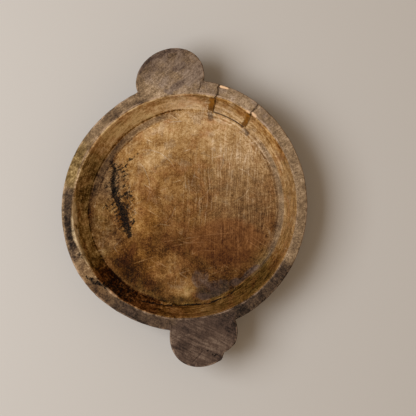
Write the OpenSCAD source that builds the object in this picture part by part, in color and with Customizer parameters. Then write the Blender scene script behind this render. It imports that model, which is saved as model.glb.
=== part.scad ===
// Round dough bowl, carved from one block of hardwood, with two round lugs on its rim.
// A piece of the rim and wall broke out beside one lug and was glued back in its place.
// Millimetres. +Z is up and +Y runs through the lugs. The origin lies under the middle
// of the bowl, on the face that it rests on.

/* [Bowl] */
// Mean diameter over the outer edge of the rim
bowl_dia = 450; // [340:5:600]
// Height from the resting face to the top of the rim
bowl_h = 85; // [72:1:130]
// Mean diameter of the flat sole that the bowl rests on
sole_dia = 300; // [200:5:320]
// Roundness of the outer wall: 0 is a straight slope, 1 is a full quarter round
belly_share = 0.5; // [0:0.05:1]

/* [Rim] */
// Mean width of the top of the rim
rim_w = 23.5; // [16:0.5:40]
// Height of the upright outer face of the rim
rim_face_h = 14; // [8:1:24]
// Rounding of the outer top edge of the rim and lugs
rim_edge_r = 3.5; // [1:0.5:5]
// Length of the worn rounding on each side of the edge of the mouth
mouth_edge_w = 5; // [1:0.5:8]

/* [Hollow] */
// Depth of the hollow at the foot of its wall
hollow_depth = 55; // [35:1:62]
// Width of the sloping wall, seen from above
wall_slope_w = 22; // [8:1:40]
// How far the middle of the wall is scooped behind a straight slope
wall_bow = 2; // [0:0.5:5]
// Length of the fillet each way where the wall meets the floor
foot_fillet_w = 4; // [2:0.5:10]
// How much deeper the floor is at its middle than at its edge
floor_dish = 6; // [0:1:10]
// Mean thickness of the wood at the foot of the wall, measured level
wall_t = 17.5; // [12:0.5:30]

/* [Lugs] */
// Width of each lug where it leaves the rim
lug_w = 121; // [80:1:160]
// How far the plain lug, at +Y, stands out from the rim
plain_lug_reach = 59; // [30:1:90]
// How far the chipped lug, at -Y, stands out from the rim
chipped_lug_reach = 66; // [30:1:90]
// Thickness of a lug where it leaves the wall
lug_root_t = 28; // [20:1:40]
// Thickness of a lug at its edge
lug_edge_t = 18; // [10:1:20]
// Depth of the chip out of the edge of the chipped lug
chip_depth = 8; // [0:1:15]

/* [Repair] */
// Length of rim between the plain lug and the wide crack
crack_from_lug = 28; // [20:1:60]
// Length of rim on the piece that was glued back
segment_w = 77; // [50:1:130]
// Width of the wide crack, on the plain lug's side of the piece
wide_crack_w = 2.4; // [1:0.1:4]
// Width of the narrow crack, on the other side of the piece
narrow_crack_w = 1.4; // [1:0.1:3]
// How far the cracks wander from a straight line
crack_wander = 2.6; // [0:0.2:4]
// Thickness of the glue bed under the piece
bed_t = 0.8; // [0.5:0.1:2]
// Gap between the glue and the wood
glue_gap = 0.12; // [0.05:0.01:0.2]
// How deep the glue lies in the cracks below the top of the rim
glue_sink = 3; // [1:0.5:8]
// Thickness of the runs of glue down the wall
run_t = 1.4; // [0.8:0.1:2.5]
// Width of the run beside the wide crack
wide_run_w = 8; // [4:0.5:14]
// Width of the run over the narrow crack
narrow_run_w = 6.5; // [4:0.5:14]

/* [Hidden] */

// Twelve shares each, one every 30 degrees from +X towards +Y: the bowl was shaped by eye
rim_round_shares = [0.986, 1.005, 1.028, 1.018, 0.987, 0.987, 0.998, 1.012, 1.0, 1.0, 0.990, 0.982];
rim_w_shares = [0.90, 1.0, 1.08, 1.14, 0.94, 0.95, 0.94, 1.04, 1.02, 1.10, 1.0, 0.90];
wall_slope_shares = [0.98, 0.98, 1.02, 0.99, 1.10, 1.11, 0.96, 0.98, 0.91, 0.91, 1.09, 0.97];

// Sideways run of each crack, from the foot of the wall out to the edge of the rim
wide_crack_shares = [-0.4, 0.4, 0.4, 1.0, -0.8, -0.5, 0.8, -0.3];
narrow_crack_shares = [-1.0, -0.9, 0.3, 0.6, -1.0, 0.5];

// Where the floor's rings lie between the middle and the foot of the wall
floor_ring_shares = [0.88, 0.66, 0.42, 0.18];

// Lean of each lug's outline to one side, and where the chip lies on its lug
plain_lean_share = 0.13;
chipped_lean_share = 0.14;
chip_place_share = 0.42;
chip_steep_share = 0.08;
chip_long_share = 0.34;
// Share of a lug's reach over which its underside grows out of the wall
lug_blend_share = 0.3;

// Deepest that the glue may sink into a crack, as a share of the crack's depth
deepest_sink_share = 0.8;
// Thickness of a run down its length, and across it: where each column lies and how thick it is
run_row_shares = [0.25, 0.8, 1.0, 0.95, 0.7];
run_side_shares = [[0.35, 1.0], [0.7, 0.8], [1.0, 0.15]];
run_lap_share = 0.3;
bed_inset_share = 0.12;

plain_lug_clock = 91;
chipped_lug_clock = 272.5;
station_step = 3;
lug_stations = 16;
normal_step = 0.3;

wall_rows = 10;
break_row = 5;
lug_wall_rows = 7;
edge_rows = 3;
mouth_rows = 3;
slope_rows = 4;
foot_rows = 3;
bed_rows = 5;

bowl_r = bowl_dia / 2;
sole_r = sole_dia / 2;
rim_low_z = bowl_h - rim_face_h;
floor_edge_z = bowl_h - hollow_depth;
floor_mid_z = floor_edge_z - floor_dish;
lug_root_z = bowl_h - lug_root_t;
lug_half = asin(lug_w / bowl_dia);
plain_lug_start = plain_lug_clock - lug_half;
wide_crack_deg = plain_lug_start - rim_deg(crack_from_lug);
narrow_crack_deg = wide_crack_deg - rim_deg(segment_w);
turn = 360;

function mix(a, b, t) = a + (b - a) * t;
function limited(x) = max(0, min(1, x));
function polar(r, deg, z) = [r * cos(deg), r * sin(deg), z];
function rim_deg(w) = w / (bowl_dia * PI) * 360;

// Quadratic curve from a to c, pulled towards the corner b
function corner(a, b, c, t) = mix(mix(a, b, t), mix(b, c, t), t);

// Smooth closed curve through a table of shares, read at a clock angle
function clock_share(table, deg) =
    let (n = len(table), x = (deg % turn + turn) % turn * n / turn, i = floor(x), t = x - i)
    let (a = table[(i + n - 1) % n], b = table[i % n], c = table[(i + 1) % n], d = table[(i + 2) % n])
    b + t / 2 * (c - a + t * (2 * a - 5 * b + 4 * c - d + t * (3 * b - a - 3 * c + d)));

// Straight lines through a table of shares, read from 0 at its start to 1 at its end
function line_share(table, t) =
    let (x = limited(t) * (len(table) - 1), i = min(floor(x), len(table) - 2))
    mix(table[i], table[i + 1], x - i);

function rim_r(deg) = bowl_r * clock_share(rim_round_shares, deg);
function mouth_r(deg) = rim_r(deg) - rim_w * clock_share(rim_w_shares, deg);
function foot_r(deg) = mouth_r(deg) - wall_slope_w * clock_share(wall_slope_shares, deg);

// A lug's outline is half an ellipse that leans to one side; u runs from -1 to 1 across it
function lobe(u, lean) = abs(u) < 1 ? sqrt(1 - u * u) * (1 - lean * u) : 0;
function chip(u) =
    let (away = u - chip_place_share)
    max(0, 1 - abs(away) / (away < 0 ? chip_steep_share : chip_long_share));
function plain_reach(u) = plain_lug_reach * lobe(u, plain_lean_share);
function chipped_reach(u) =
    max(0, chipped_lug_reach * lobe(u, chipped_lean_share) - chip_depth * chip(u));
function reach(deg) =
    plain_reach((deg - plain_lug_clock) / lug_half) + chipped_reach((deg - chipped_lug_clock) / lug_half);

// Outer edge in plan, and the direction that points into the wood from it
function edge(deg) = polar(rim_r(deg) + reach(deg), deg, 0);
function inward(deg) =
    let (t = edge(deg + normal_step) - edge(deg - normal_step))
    [-t.y, t.x, 0] / norm(t);

// The outer wall's curve from the sole, s = 0, to the rim's upright face, s = 1
function curve_out(s) = mix(s, sin(90 * s), belly_share);
function curve_up(s) = mix(s, 1 - cos(90 * s), belly_share);

// The s at which the curve reaches a share of its height, by halving
function curve_at(up, low = 0, high = 1, turns = 20) =
    let (s = (low + high) / 2, next = turns - 1)
    turns == 0 ? s
    : curve_up(s) < up ? curve_at(up, s, high, next)
    : curve_at(up, low, s, next);
foot_s = curve_at(floor_edge_z / rim_low_z);
lug_root_s = curve_at(lug_root_z / rim_low_z);

// The curve is pushed in or out so that the wood has its thickness beside the hollow's foot
function belly_push(deg) =
    rim_r(deg) - rim_w - wall_slope_w + wall_t - mix(sole_r, rim_r(deg), curve_out(foot_s));
function belly(deg, s) =
    let (r = mix(sole_r, rim_r(deg), curve_out(s)))
    let (push = belly_push(deg) * s * (1 - s) / (foot_s * (1 - foot_s)))
    polar(min(r + push, rim_r(deg)), deg, rim_low_z * curve_up(s));

// Row j of the outer side: on the wall, with one row level with the hollow's foot, or out
// along the underside of a lug
function wall_row_s(j) =
    j < break_row ? foot_s * j / break_row : mix(foot_s, 1, (j - break_row) / (wall_rows - break_row));
function lug_grown(deg) = limited(reach(deg) / (lug_blend_share * plain_lug_reach));
function lip_h(deg) = mix(rim_face_h, lug_edge_t, lug_grown(deg));
function outer_row(deg, j) =
    let (lip = edge(deg) + inward(deg) * rim_edge_r * lug_grown(deg) + [0, 0, bowl_h - lip_h(deg)])
    let (under = j > lug_wall_rows
        ? mix(belly(deg, lug_root_s), lip, (j - lug_wall_rows) / (wall_rows - lug_wall_rows))
        : belly(deg, lug_root_s * j / lug_wall_rows))
    mix(belly(deg, wall_row_s(j)), under, lug_grown(deg));
function lip_foot(deg) = edge(deg) + [0, 0, bowl_h - lip_h(deg) + rim_edge_r];
function lip_round(deg, a) =
    edge(deg) + inward(deg) * rim_edge_r * (1 - cos(a)) + [0, 0, bowl_h - rim_edge_r * (1 - sin(a))];

// One section of the bowl, from the sole's edge over the rim and down to the floor
function section(deg) =
    let (mouth = polar(mouth_r(deg), deg, bowl_h), foot = polar(foot_r(deg), deg, floor_edge_z))
    let (slope_l = norm(mouth - foot), wall_top = mix(mouth, foot, mouth_edge_w / slope_l))
    let (wall_foot = mix(foot, mouth, foot_fillet_w / slope_l))
    let (floor_r = foot_r(deg) - foot_fillet_w, rim_in = polar(mouth_r(deg) + mouth_edge_w, deg, bowl_h))
    concat(
        [for (j = [0 : wall_rows]) outer_row(deg, j)],
        [lip_foot(deg)],
        [for (i = [0 : edge_rows]) lip_round(deg, 90 * i / edge_rows)],
        [for (i = [0 : mouth_rows]) corner(rim_in, mouth, wall_top, i / mouth_rows)],
        [for (i = [1 : slope_rows - 1])
            let (s = i / slope_rows)
            mix(wall_top, wall_foot, s) + polar(wall_bow * 4 * s * (1 - s), deg, 0)],
        [for (i = [0 : foot_rows])
            corner(wall_foot, foot, floor_at(deg, floor_r), i / foot_rows)],
        [for (share = floor_ring_shares) floor_at(deg, floor_r * share)]
    );
function floor_at(deg, r) = polar(r, deg, floor_edge_z - floor_dish * (1 - pow(r / foot_r(deg), 2)));

wall_top_row = wall_rows + 1 + edge_rows + 1 + mouth_rows + 1;
wall_foot_row = wall_top_row + slope_rows;
foot_row = wall_foot_row + foot_rows;
last_row = foot_row + len(floor_ring_shares);
glue_rows = [break_row + 1 : wall_foot_row];
piece_edge_row = wall_foot_row + 1;

// The break runs level through the wall, from its foot to the outside. Each point of a section
// has a point of the break straight below it, or at the break's nearer end.
function plan_r(p) = norm([p.x, p.y]);
function on_break(points, p, lift) =
    let (out = points[break_row], in = points[foot_row])
    mix(in, out, limited((plan_r(p) - plan_r(in)) / (plan_r(out) - plan_r(in)))) + [0, 0, lift];
function broken(points, lift) =
    [for (i = [0 : last_row])
        i <= break_row || i >= foot_row ? points[i] : on_break(points, points[i], lift)];

// A crack's side: each point of the section is turned by the crack's own sideways run
function crack_turn(p, deg, table, off) =
    let (t = (plan_r(p) - foot_r(deg)) / (rim_r(deg) - foot_r(deg)))
    let (a = (off + crack_wander * line_share(table, t)) / plan_r(p) * 180 / PI)
    [p.x * cos(a) - p.y * sin(a), p.x * sin(a) + p.y * cos(a), p.z];
function cracked(points, deg, table, off) = [for (p = points) crack_turn(p, deg, table, off)];
function at_wide_crack(points, off) = cracked(points, wide_crack_deg, wide_crack_shares, off);
function at_narrow_crack(points, off) = cracked(points, narrow_crack_deg, narrow_crack_shares, off);

// Clock angles of the sections
function spaced(a, b) =
    let (n = ceil((b - a) / station_step))
    [for (i = [1 : n - 1]) mix(a, b, i / n)];
function lug_degs(clock, us) = [for (u = us) clock + lug_half * u];
round_us = [for (i = [0 : lug_stations]) -cos(180 * i / lug_stations)];
chip_start_share = chip_place_share - chip_steep_share;
chip_end_share = chip_place_share + chip_long_share;
chip_us = concat(
    [for (u = round_us) if (u < chip_start_share - chip_steep_share) u],
    [chip_start_share, chip_place_share, chip_place_share + chip_long_share / 2, chip_end_share],
    [for (u = round_us) if (u > chip_end_share + chip_steep_share) u]
);
whole_degs = concat(
    spaced(wide_crack_deg, plain_lug_start),
    lug_degs(plain_lug_clock, round_us),
    spaced(plain_lug_clock + lug_half, chipped_lug_clock - lug_half),
    lug_degs(chipped_lug_clock, chip_us),
    spaced(chipped_lug_clock + lug_half, narrow_crack_deg + turn)
);
piece_degs = spaced(narrow_crack_deg, wide_crack_deg);

wide_section = section(wide_crack_deg);
narrow_section = section(narrow_crack_deg);

// Solids between rows of points
function quad(a, b, c, d) = [[a, b, c], [a, c, d]];
function flat(lists) = [for (l = lists) each l];
function solid_faces(points, faces) =
    [for (f = faces)
        let (a = points[f[0]], b = points[f[1]], c = points[f[2]])
        if (a != b && b != c && c != a) f];

// A ring of sections, closed by a pole over the floor and a flat below the sole
module ring_of(sections, pole) {
    n = len(sections);
    m = len(sections[0]);
    points = concat(flat(sections), [pole]);
    sides = flat([for (i = [0 : n - 1], j = [0 : m - 2])
        let (k = (i + 1) % n)
        quad(i * m + j, i * m + j + 1, k * m + j + 1, k * m + j)]);
    floor_cap = [for (i = [0 : n - 1]) [i * m + m - 1, n * m, (i + 1) % n * m + m - 1]];
    sole_cap = [for (i = [1 : n - 2]) [0, i * m, (i + 1) * m]];
    polyhedron(points, solid_faces(points, concat(sides, floor_cap, sole_cap)), convexity = 8);
}

// A slab between an upper and a lower grid of points, each a list of equal rows
module slab(upper, lower) {
    n = len(upper);
    m = len(upper[0]);
    points = concat(flat(upper), flat(lower));
    under = n * m;
    top = flat([for (i = [0 : n - 2], j = [0 : m - 2])
        let (a = i * m + j)
        quad(a, a + 1, a + m + 1, a + m)]);
    bottom = flat([for (i = [0 : n - 2], j = [0 : m - 2])
        let (a = under + i * m + j)
        quad(a, a + m, a + m + 1, a + 1)]);
    ends = flat([for (j = [0 : m - 2])
        let (a = j, b = (n - 1) * m + j)
        concat(quad(a, under + a, under + a + 1, a + 1), quad(b, b + 1, under + b + 1, under + b))]);
    sides = flat([for (i = [0 : n - 2])
        let (a = i * m, b = i * m + m - 1)
        concat(quad(a, a + m, under + a + m, under + a), quad(b, under + b, under + b + m, b + m))]);
    polyhedron(points, solid_faces(points, concat(top, bottom, ends, sides)), convexity = 6);
}

// The carved bowl, with an open pocket where the piece of rim and wall broke out
module bowl_body() {
    wide_side = at_wide_crack(wide_section, wide_crack_w / 2);
    narrow_side = at_narrow_crack(narrow_section, -narrow_crack_w / 2);
    color("peru")
    ring_of(
        concat(
            [wide_side],
            [for (deg = whole_degs) section(deg)],
            [narrow_side],
            [broken(narrow_side, 0)],
            [for (deg = piece_degs) broken(section(deg), 0)],
            [broken(wide_side, 0)]
        ),
        [0, 0, floor_mid_z]
    );
}

// The piece of rim and wall, set back on its bed of glue. Its edge on the hollow's side
// ends in the fillet, where the wall comes down to the bed.
function piece_sections() = concat(
    [at_narrow_crack(narrow_section, narrow_crack_w / 2)],
    [for (deg = piece_degs) section(deg)],
    [at_wide_crack(wide_section, -wide_crack_w / 2)]
);
function piece_under(points) =
    [for (i = [break_row : piece_edge_row]) on_break(points, points[i], bed_t)];
function piece_over(points) =
    [for (i = [break_row : piece_edge_row])
        i == break_row || i == piece_edge_row ? on_break(points, points[i], bed_t) : points[i]];
module rim_segment() {
    sections = piece_sections();
    color("burlywood")
    slab([for (s = sections) piece_over(s)], [for (s = sections) piece_under(s)]);
}

// Glue in a crack fills it from the pocket's floor to a little below the rim. On the sloping
// wall it stands out as a run, and side columns carry the run over the wood beside the crack.
function sunk(points, i) =
    let (p = points[i], b = on_break(points, p, glue_gap))
    mix(p, b, min(glue_sink / norm(b - p), deepest_sink_share));
function off_wall(points, i, h) =
    let (out = cross([-points[i].y, points[i].x, 0], points[i + 1] - points[i - 1]))
    points[i] + h * out / norm(out);
function run_h(i, share) = glue_gap + run_t * share * run_row_shares[i - wall_top_row];

// One column is [its points on the wood, the crack's points beside it, share of the run's
// thickness, whether it reaches down into the crack]
function glue_front(c) =
    [for (i = glue_rows) i < wall_top_row ? sunk(c[1], i) : off_wall(c[0], i, run_h(i, c[2]))];
function glue_back(c) =
    [for (i = glue_rows)
        c[3] ? on_break(c[1], c[1][i], glue_gap)
        : i < wall_top_row ? sunk(c[1], i)
        : off_wall(c[0], i, glue_gap)];
module crack_glue(columns) {
    slab([for (c = columns) glue_front(c)], [for (c = columns) glue_back(c)]);
}
function beside(bank, beyond, w) =
    [for (i = [0 : last_row]) mix(bank[i], beyond[i], w / max(w, norm(beyond[i] - bank[i])))];

// The wide crack's glue, with its run on the bowl's side
module glue_left() {
    in_crack = wide_crack_w / 2 - glue_gap;
    near = at_wide_crack(wide_section, -in_crack);
    far = at_wide_crack(wide_section, in_crack);
    bank = at_wide_crack(wide_section, wide_crack_w / 2);
    beyond = section(whole_degs[0]);
    color("darkgoldenrod")
    crack_glue([
        [near, near, 0.5, true],
        [far, far, 0.8, true],
        [far, far, 0.8, false],
        for (c = run_side_shares) [beside(bank, beyond, wide_run_w * c[0]), far, c[1], false]
    ]);
}

// The narrow crack's glue, with its run mostly on the piece's side
module glue_right() {
    in_crack = narrow_crack_w / 2 - glue_gap;
    near = at_narrow_crack(narrow_section, -in_crack);
    far = at_narrow_crack(narrow_section, in_crack);
    bowl_bank = at_narrow_crack(narrow_section, -narrow_crack_w / 2);
    piece_bank = at_narrow_crack(narrow_section, narrow_crack_w / 2);
    bowl_beyond = section(whole_degs[len(whole_degs) - 1]);
    piece_beyond = section(piece_degs[0]);
    color("darkgoldenrod")
    crack_glue([
        [beside(bowl_bank, bowl_beyond, narrow_run_w * run_lap_share), near, 0, false],
        [near, near, 0.8, false],
        [near, near, 0.8, true],
        [far, far, 0.9, true],
        [far, far, 0.9, false],
        for (c = run_side_shares) [beside(piece_bank, piece_beyond, narrow_run_w * c[0]), far, c[1], false]
    ]);
}

// The thin bed of glue under the piece, drawn in a little from the break's two ends
module glue_bed() {
    sections = piece_sections();
    color("darkgoldenrod")
    slab(
        [for (s = sections) bed_line(s, bed_t - glue_gap)],
        [for (s = sections) bed_line(s, glue_gap)]
    );
}
function bed_line(points, lift) =
    [for (i = [0 : bed_rows])
        mix(points[break_row], points[foot_row], mix(bed_inset_share, 1 - bed_inset_share, i / bed_rows))
        + [0, 0, lift]];

bowl_body();
rim_segment();
glue_left();
glue_right();
glue_bed();
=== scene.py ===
"""Looks of a carved dough bowl: one block of old oiled hardwood with two round lugs, and a piece
of its rim and wall glued back between two cracks. Lengths are in millimetres until a mesh is
made. The shapes repeat the solids' formulas on finer grids, and tool marks, chips, pits and
checks are carved into them, never built up, so nothing leaves the solids' box."""
import math
import bpy
import numpy as np
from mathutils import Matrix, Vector


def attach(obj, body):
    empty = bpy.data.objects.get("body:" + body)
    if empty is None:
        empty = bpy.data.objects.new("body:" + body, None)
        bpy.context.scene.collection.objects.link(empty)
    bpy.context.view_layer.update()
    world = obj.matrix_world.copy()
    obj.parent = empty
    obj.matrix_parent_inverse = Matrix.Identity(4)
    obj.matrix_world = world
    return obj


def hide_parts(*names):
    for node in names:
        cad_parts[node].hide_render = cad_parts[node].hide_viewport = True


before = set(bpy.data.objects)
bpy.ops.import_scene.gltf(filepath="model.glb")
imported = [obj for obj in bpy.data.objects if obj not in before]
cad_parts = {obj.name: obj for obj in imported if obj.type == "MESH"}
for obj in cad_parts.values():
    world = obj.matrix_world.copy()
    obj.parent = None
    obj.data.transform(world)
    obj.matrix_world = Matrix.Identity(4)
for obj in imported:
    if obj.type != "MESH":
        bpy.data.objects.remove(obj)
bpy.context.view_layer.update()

# Sizes, as in the solids
BOWL_R, BOWL_H, SOLE_R, BELLY_SHARE = 225.0, 85.0, 150.0, 0.5
RIM_W, RIM_FACE_H, RIM_EDGE_R, MOUTH_EDGE_W = 23.5, 14.0, 3.5, 5.0
HOLLOW_DEPTH, WALL_SLOPE_W, WALL_BOW = 55.0, 22.0, 2.0
FOOT_FILLET_W, FLOOR_DISH, WALL_T = 4.0, 6.0, 17.5
LUG_W, LUG_ROOT_T, LUG_EDGE_T, LUG_GROWTH = 121.0, 28.0, 18.0, 0.3
PLAIN_CLOCK, PLAIN_REACH, PLAIN_LEAN = 91.0, 59.0, 0.13
CHIPPED_CLOCK, CHIPPED_REACH, CHIPPED_LEAN = 272.5, 66.0, 0.14
CHIP_DEPTH, CHIP_AT, CHIP_BEFORE, CHIP_AFTER = 8.0, 0.42, 0.08, 0.34
CRACK_FROM_LUG, SEGMENT_W, CRACK_WANDER = 28.0, 77.0, 2.6
CRACK_RIPPLE, RIPPLE_PITCH, CRACK_PULL = 0.35, 41, 13.0
BED_T, GLUE_GAP, GLUE_SINK, RUN_T = 0.8, 0.12, 3.0, 1.4
MM = 0.001  # one millimetre in metres
# Shares of the rim's radius, of its width and of the wall's slope, every 30 degrees from +X.
RIM_ROUND = [0.986, 1.005, 1.028, 1.018, 0.987, 0.987, 0.998, 1.012, 1.0, 1.0, 0.990, 0.982]
RIM_W_SHARES = [0.90, 1.0, 1.08, 1.14, 0.94, 0.95, 0.94, 1.04, 1.02, 1.10, 1.0, 0.90]
SLOPE_SHARES = [0.98, 0.98, 1.02, 0.99, 1.10, 1.11, 0.96, 0.98, 0.91, 0.91, 1.09, 0.97]

RIM_LOW_Z = BOWL_H - RIM_FACE_H
FLOOR_EDGE_Z = BOWL_H - HOLLOW_DEPTH
LUG_HALF = math.degrees(math.asin(LUG_W / (2 * BOWL_R)))
RIM_DEG = 360 / (2 * math.pi * BOWL_R)
WIDE_DEG = PLAIN_CLOCK - LUG_HALF - CRACK_FROM_LUG * RIM_DEG
NARROW_DEG = WIDE_DEG - SEGMENT_W * RIM_DEG
# The two cracks: clock angle, half width in mm, and shares of their wander from floor to rim.
WIDE = (WIDE_DEG, 1.2, [-0.4, 0.4, 0.4, 1.0, -0.8, -0.5, 0.8, -0.3])
NARROW = (NARROW_DEG, 0.7, [-1.0, -0.9, 0.3, 0.6, -1.0, 0.5])

# The photograph's viewpoint
# Straight down, EYE_H over the rim. One pixel is PX_MM there, the bowl's middle is seen at pixel
# (MIDDLE_X, MIDDLE_Y), and the bowl is turned 6 degrees in the picture.
IMAGE_PX, PX_MM, EYE_H = 416, 1.804, 2200.0
AXIS_PX = IMAGE_PX / 2
MIDDLE_X, MIDDLE_Y = 185, 207
ROLL = math.radians(-6.0)
RIGHT = np.array([math.cos(ROLL), math.sin(ROLL)])
UP = np.array([-math.sin(ROLL), math.cos(ROLL)])
EYE = (AXIS_PX - MIDDLE_X) * PX_MM * RIGHT - (AXIS_PX - MIDDLE_Y) * PX_MM * UP


def seen(p):
    """Pixel of the photograph where each point is seen: its offset from the eye's axis, scaled by
    the eye's height over the rim divided by the point's own distance below the eye."""
    d = p[..., :2] - EYE
    k = EYE_H / (EYE_H + BOWL_H - p[..., 2]) / PX_MM
    return AXIS_PX + d @ RIGHT * k, AXIS_PX - d @ UP * k


# Small arithmetic
most = np.maximum.reduce
HASH_X, HASH_Y, HASH_Z, HASH_SEED = 374761393, 668265263, 1440662683, 1274126177
LOW_BITS = 0xFFFFFFFF


def mix(a, b, t):
    return a + (b - a) * t


def step(x, a, b):
    """Smooth step: 0 at a, 1 at b, with level ends; a may be the larger."""
    t = np.clip((x - a) / (b - a), 0, 1)
    return t * t * (3 - 2 * t)


def polar(r, deg, z):
    a = np.radians(deg)
    return np.stack(np.broadcast_arrays(r * np.cos(a), r * np.sin(a), z), -1)


def up_only(z):
    return np.stack(np.broadcast_arrays(0.0, 0.0, z), -1)


def corner(a, b, c, t):
    """Quadratic curve from a to c, pulled towards the corner b."""
    t = t[:, None]
    return mix(mix(a, b, t), mix(b, c, t), t)


def clock_share(table, deg):
    """Smooth closed cubic through a table of shares, one every 30 degrees from +X."""
    t = np.asarray(table)
    n = len(t)
    x = np.asarray(deg) % 360.0 * n / 360.0
    i = np.floor(x).astype(int)
    f = x - i
    a, b, c, d = t[(i - 1) % n], t[i % n], t[(i + 1) % n], t[(i + 2) % n]
    return b + f / 2 * (c - a + f * (2 * a - 5 * b + 4 * c - d + f * (3 * b - a - 3 * c + d)))


def line_share(table, t):
    """Straight lines through a table of shares, from 0 at its start to 1 at its end."""
    return np.interp(np.clip(t, 0, 1) * (len(table) - 1), np.arange(len(table)), table)


def lattice(cell, seed):
    """A repeatable value from 0 to 1 for each whole-number cell, by mixing its bits."""
    x, y, z = np.moveaxis(cell, -1, 0)
    h = (x * HASH_X + y * HASH_Y + z * HASH_Z + seed * HASH_SEED) & LOW_BITS
    h = ((h ^ (h >> 13)) * HASH_SEED) & LOW_BITS
    return ((h ^ (h >> 16)) & 0xFFFF) / 65535.0


def lumps(p, size, seed=0):
    """Smooth noise from -1 to 1: a lattice value every `size` mm, blended along each axis."""
    q = p / np.asarray(size, float)
    i = np.floor(q).astype(np.int64)
    f = q - i
    f = f * f * (3 - 2 * f)
    total = 0.0
    for end in np.ndindex(2, 2, 2):
        weight = np.prod(np.where(end, f, 1 - f), axis=-1)
        total = total + weight * lattice(i + np.array(end), seed)
    return 2 * total - 1


def arc_from(clock, deg, r):
    """Distance in mm along a circle of radius r from a clock angle."""
    return np.abs((deg - clock + 180) % 360 - 180) * r * np.pi / 180


# The bowl's surface
def rim_r(deg):
    return BOWL_R * clock_share(RIM_ROUND, deg)


def mouth_r(deg):
    return rim_r(deg) - RIM_W * clock_share(RIM_W_SHARES, deg)


def foot_r(deg):
    return mouth_r(deg) - WALL_SLOPE_W * clock_share(SLOPE_SHARES, deg)


def lobe(u, lean):
    return np.sqrt(np.clip(1 - u * u, 0, 1)) * (1 - lean * u) * (np.abs(u) < 1)


def reach(deg):
    """How far the lugs stand out: two leaning half ellipses, one with a chip out of its edge."""
    u = (deg % 360 - PLAIN_CLOCK) / LUG_HALF
    v = (deg % 360 - CHIPPED_CLOCK) / LUG_HALF
    away = v - CHIP_AT
    chip = np.clip(1 - np.abs(away) / np.where(away < 0, CHIP_BEFORE, CHIP_AFTER), 0, 1)
    chipped = CHIPPED_REACH * lobe(v, CHIPPED_LEAN) - CHIP_DEPTH * chip
    return PLAIN_REACH * lobe(u, PLAIN_LEAN) + np.clip(chipped, 0, None)


def grown(deg):
    """How far a lug's thick edge has taken over from the rim's face, from 0 to 1."""
    return np.clip(reach(deg) / (LUG_GROWTH * PLAIN_REACH), 0, 1)


def edge(deg):
    return polar(rim_r(deg) + reach(deg), deg, 0.0)


def inward(deg):
    t = edge(deg + 0.3) - edge(deg - 0.3)
    n = np.stack([-t[..., 1], t[..., 0], 0 * t[..., 0]], -1)
    return n / np.linalg.norm(n, axis=-1, keepdims=True)


def curve_out(s):
    return mix(s, np.sin(np.pi / 2 * s), BELLY_SHARE)


def curve_up(s):
    return mix(s, 1 - np.cos(np.pi / 2 * s), BELLY_SHARE)


def curve_at(up):
    s = np.linspace(0, 1, 4001)
    return float(np.interp(up, curve_up(s), s))


FOOT_S = curve_at(FLOOR_EDGE_Z / RIM_LOW_Z)
ROOT_S = curve_at((BOWL_H - LUG_ROOT_T) / RIM_LOW_Z)


def belly(deg, s):
    """Outer wall, s from 0 at the sole to 1 at the rim's face: between a straight slope and a
    quarter round, pushed by a parabola so that the wood keeps its thickness at the foot."""
    r = mix(SOLE_R, rim_r(deg), curve_out(s))
    foot = mix(SOLE_R, rim_r(deg), curve_out(FOOT_S))
    need = rim_r(deg) - RIM_W - WALL_SLOPE_W + WALL_T - foot
    push = need * s * (1 - s) / (FOOT_S * (1 - FOOT_S))
    return polar(np.minimum(r + push, rim_r(deg)), deg, RIM_LOW_Z * curve_up(s))


def floor_at(deg, r):
    return polar(r, deg, FLOOR_EDGE_Z - FLOOR_DISH * (1 - (r / foot_r(deg)) ** 2))


# Rows of a section, from the sole over the outside, the rim and the wall to the floor. `WAY`
# counts on by one for each stretch: sole 0-1, belly 1-2, lip 2-3, top of the rim 3-4, mouth 4-5,
# wall 5-6, fillet 6-7, floor 7-8.
SOLE_STEPS = np.array([0.35, 0.7, 0.93])
BELLY_STEPS = np.linspace(0, 1, 17)
LIP_STEPS = np.array([0.1, 0.2, 0.3, 0.42, 0.56, 0.7, 0.76, 0.82, 0.88, 0.94, 1.0])
RIM_STEPS = np.arange(1, 34) / 34
MOUTH_STEPS = np.linspace(0, 1, 8)
WALL_STEPS = np.arange(1, 19) / 19
FILLET_STEPS = np.linspace(0, 1, 7)
FLOOR_STEPS = np.concatenate([np.arange(1, 37) / 36 * 0.62, 0.62 + np.arange(1, 12) / 12 * 0.38])
STRETCHES = [SOLE_STEPS, BELLY_STEPS, LIP_STEPS, RIM_STEPS, MOUTH_STEPS, WALL_STEPS,
             FILLET_STEPS, FLOOR_STEPS]
WAY = np.concatenate([i + s for i, s in enumerate(STRETCHES)])
ENDS = np.cumsum([0] + [len(s) for s in STRETCHES])
ROWS = len(WAY)
BREAK_ROW = ENDS[1] + 8
WALL_TOP_ROW = ENDS[5] - 1
WALL_FOOT_ROW = ENDS[6]
PIECE_EDGE_ROW = ENDS[6] + 2
FOOT_ROW = ENDS[7] - 1
# The belly's ten parts: the fifth ends level with the floor's edge, and under a lug the seventh
# ends at the lug's root and the last three lead out to its lip.
BELLY_PARTS, FLOOR_PART, ROOT_PART = 10, 5, 7
LIP_ROUND, LIP_FLAT = 0.3, 0.4  # shares of the lip's rows in each round edge, and between them


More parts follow.
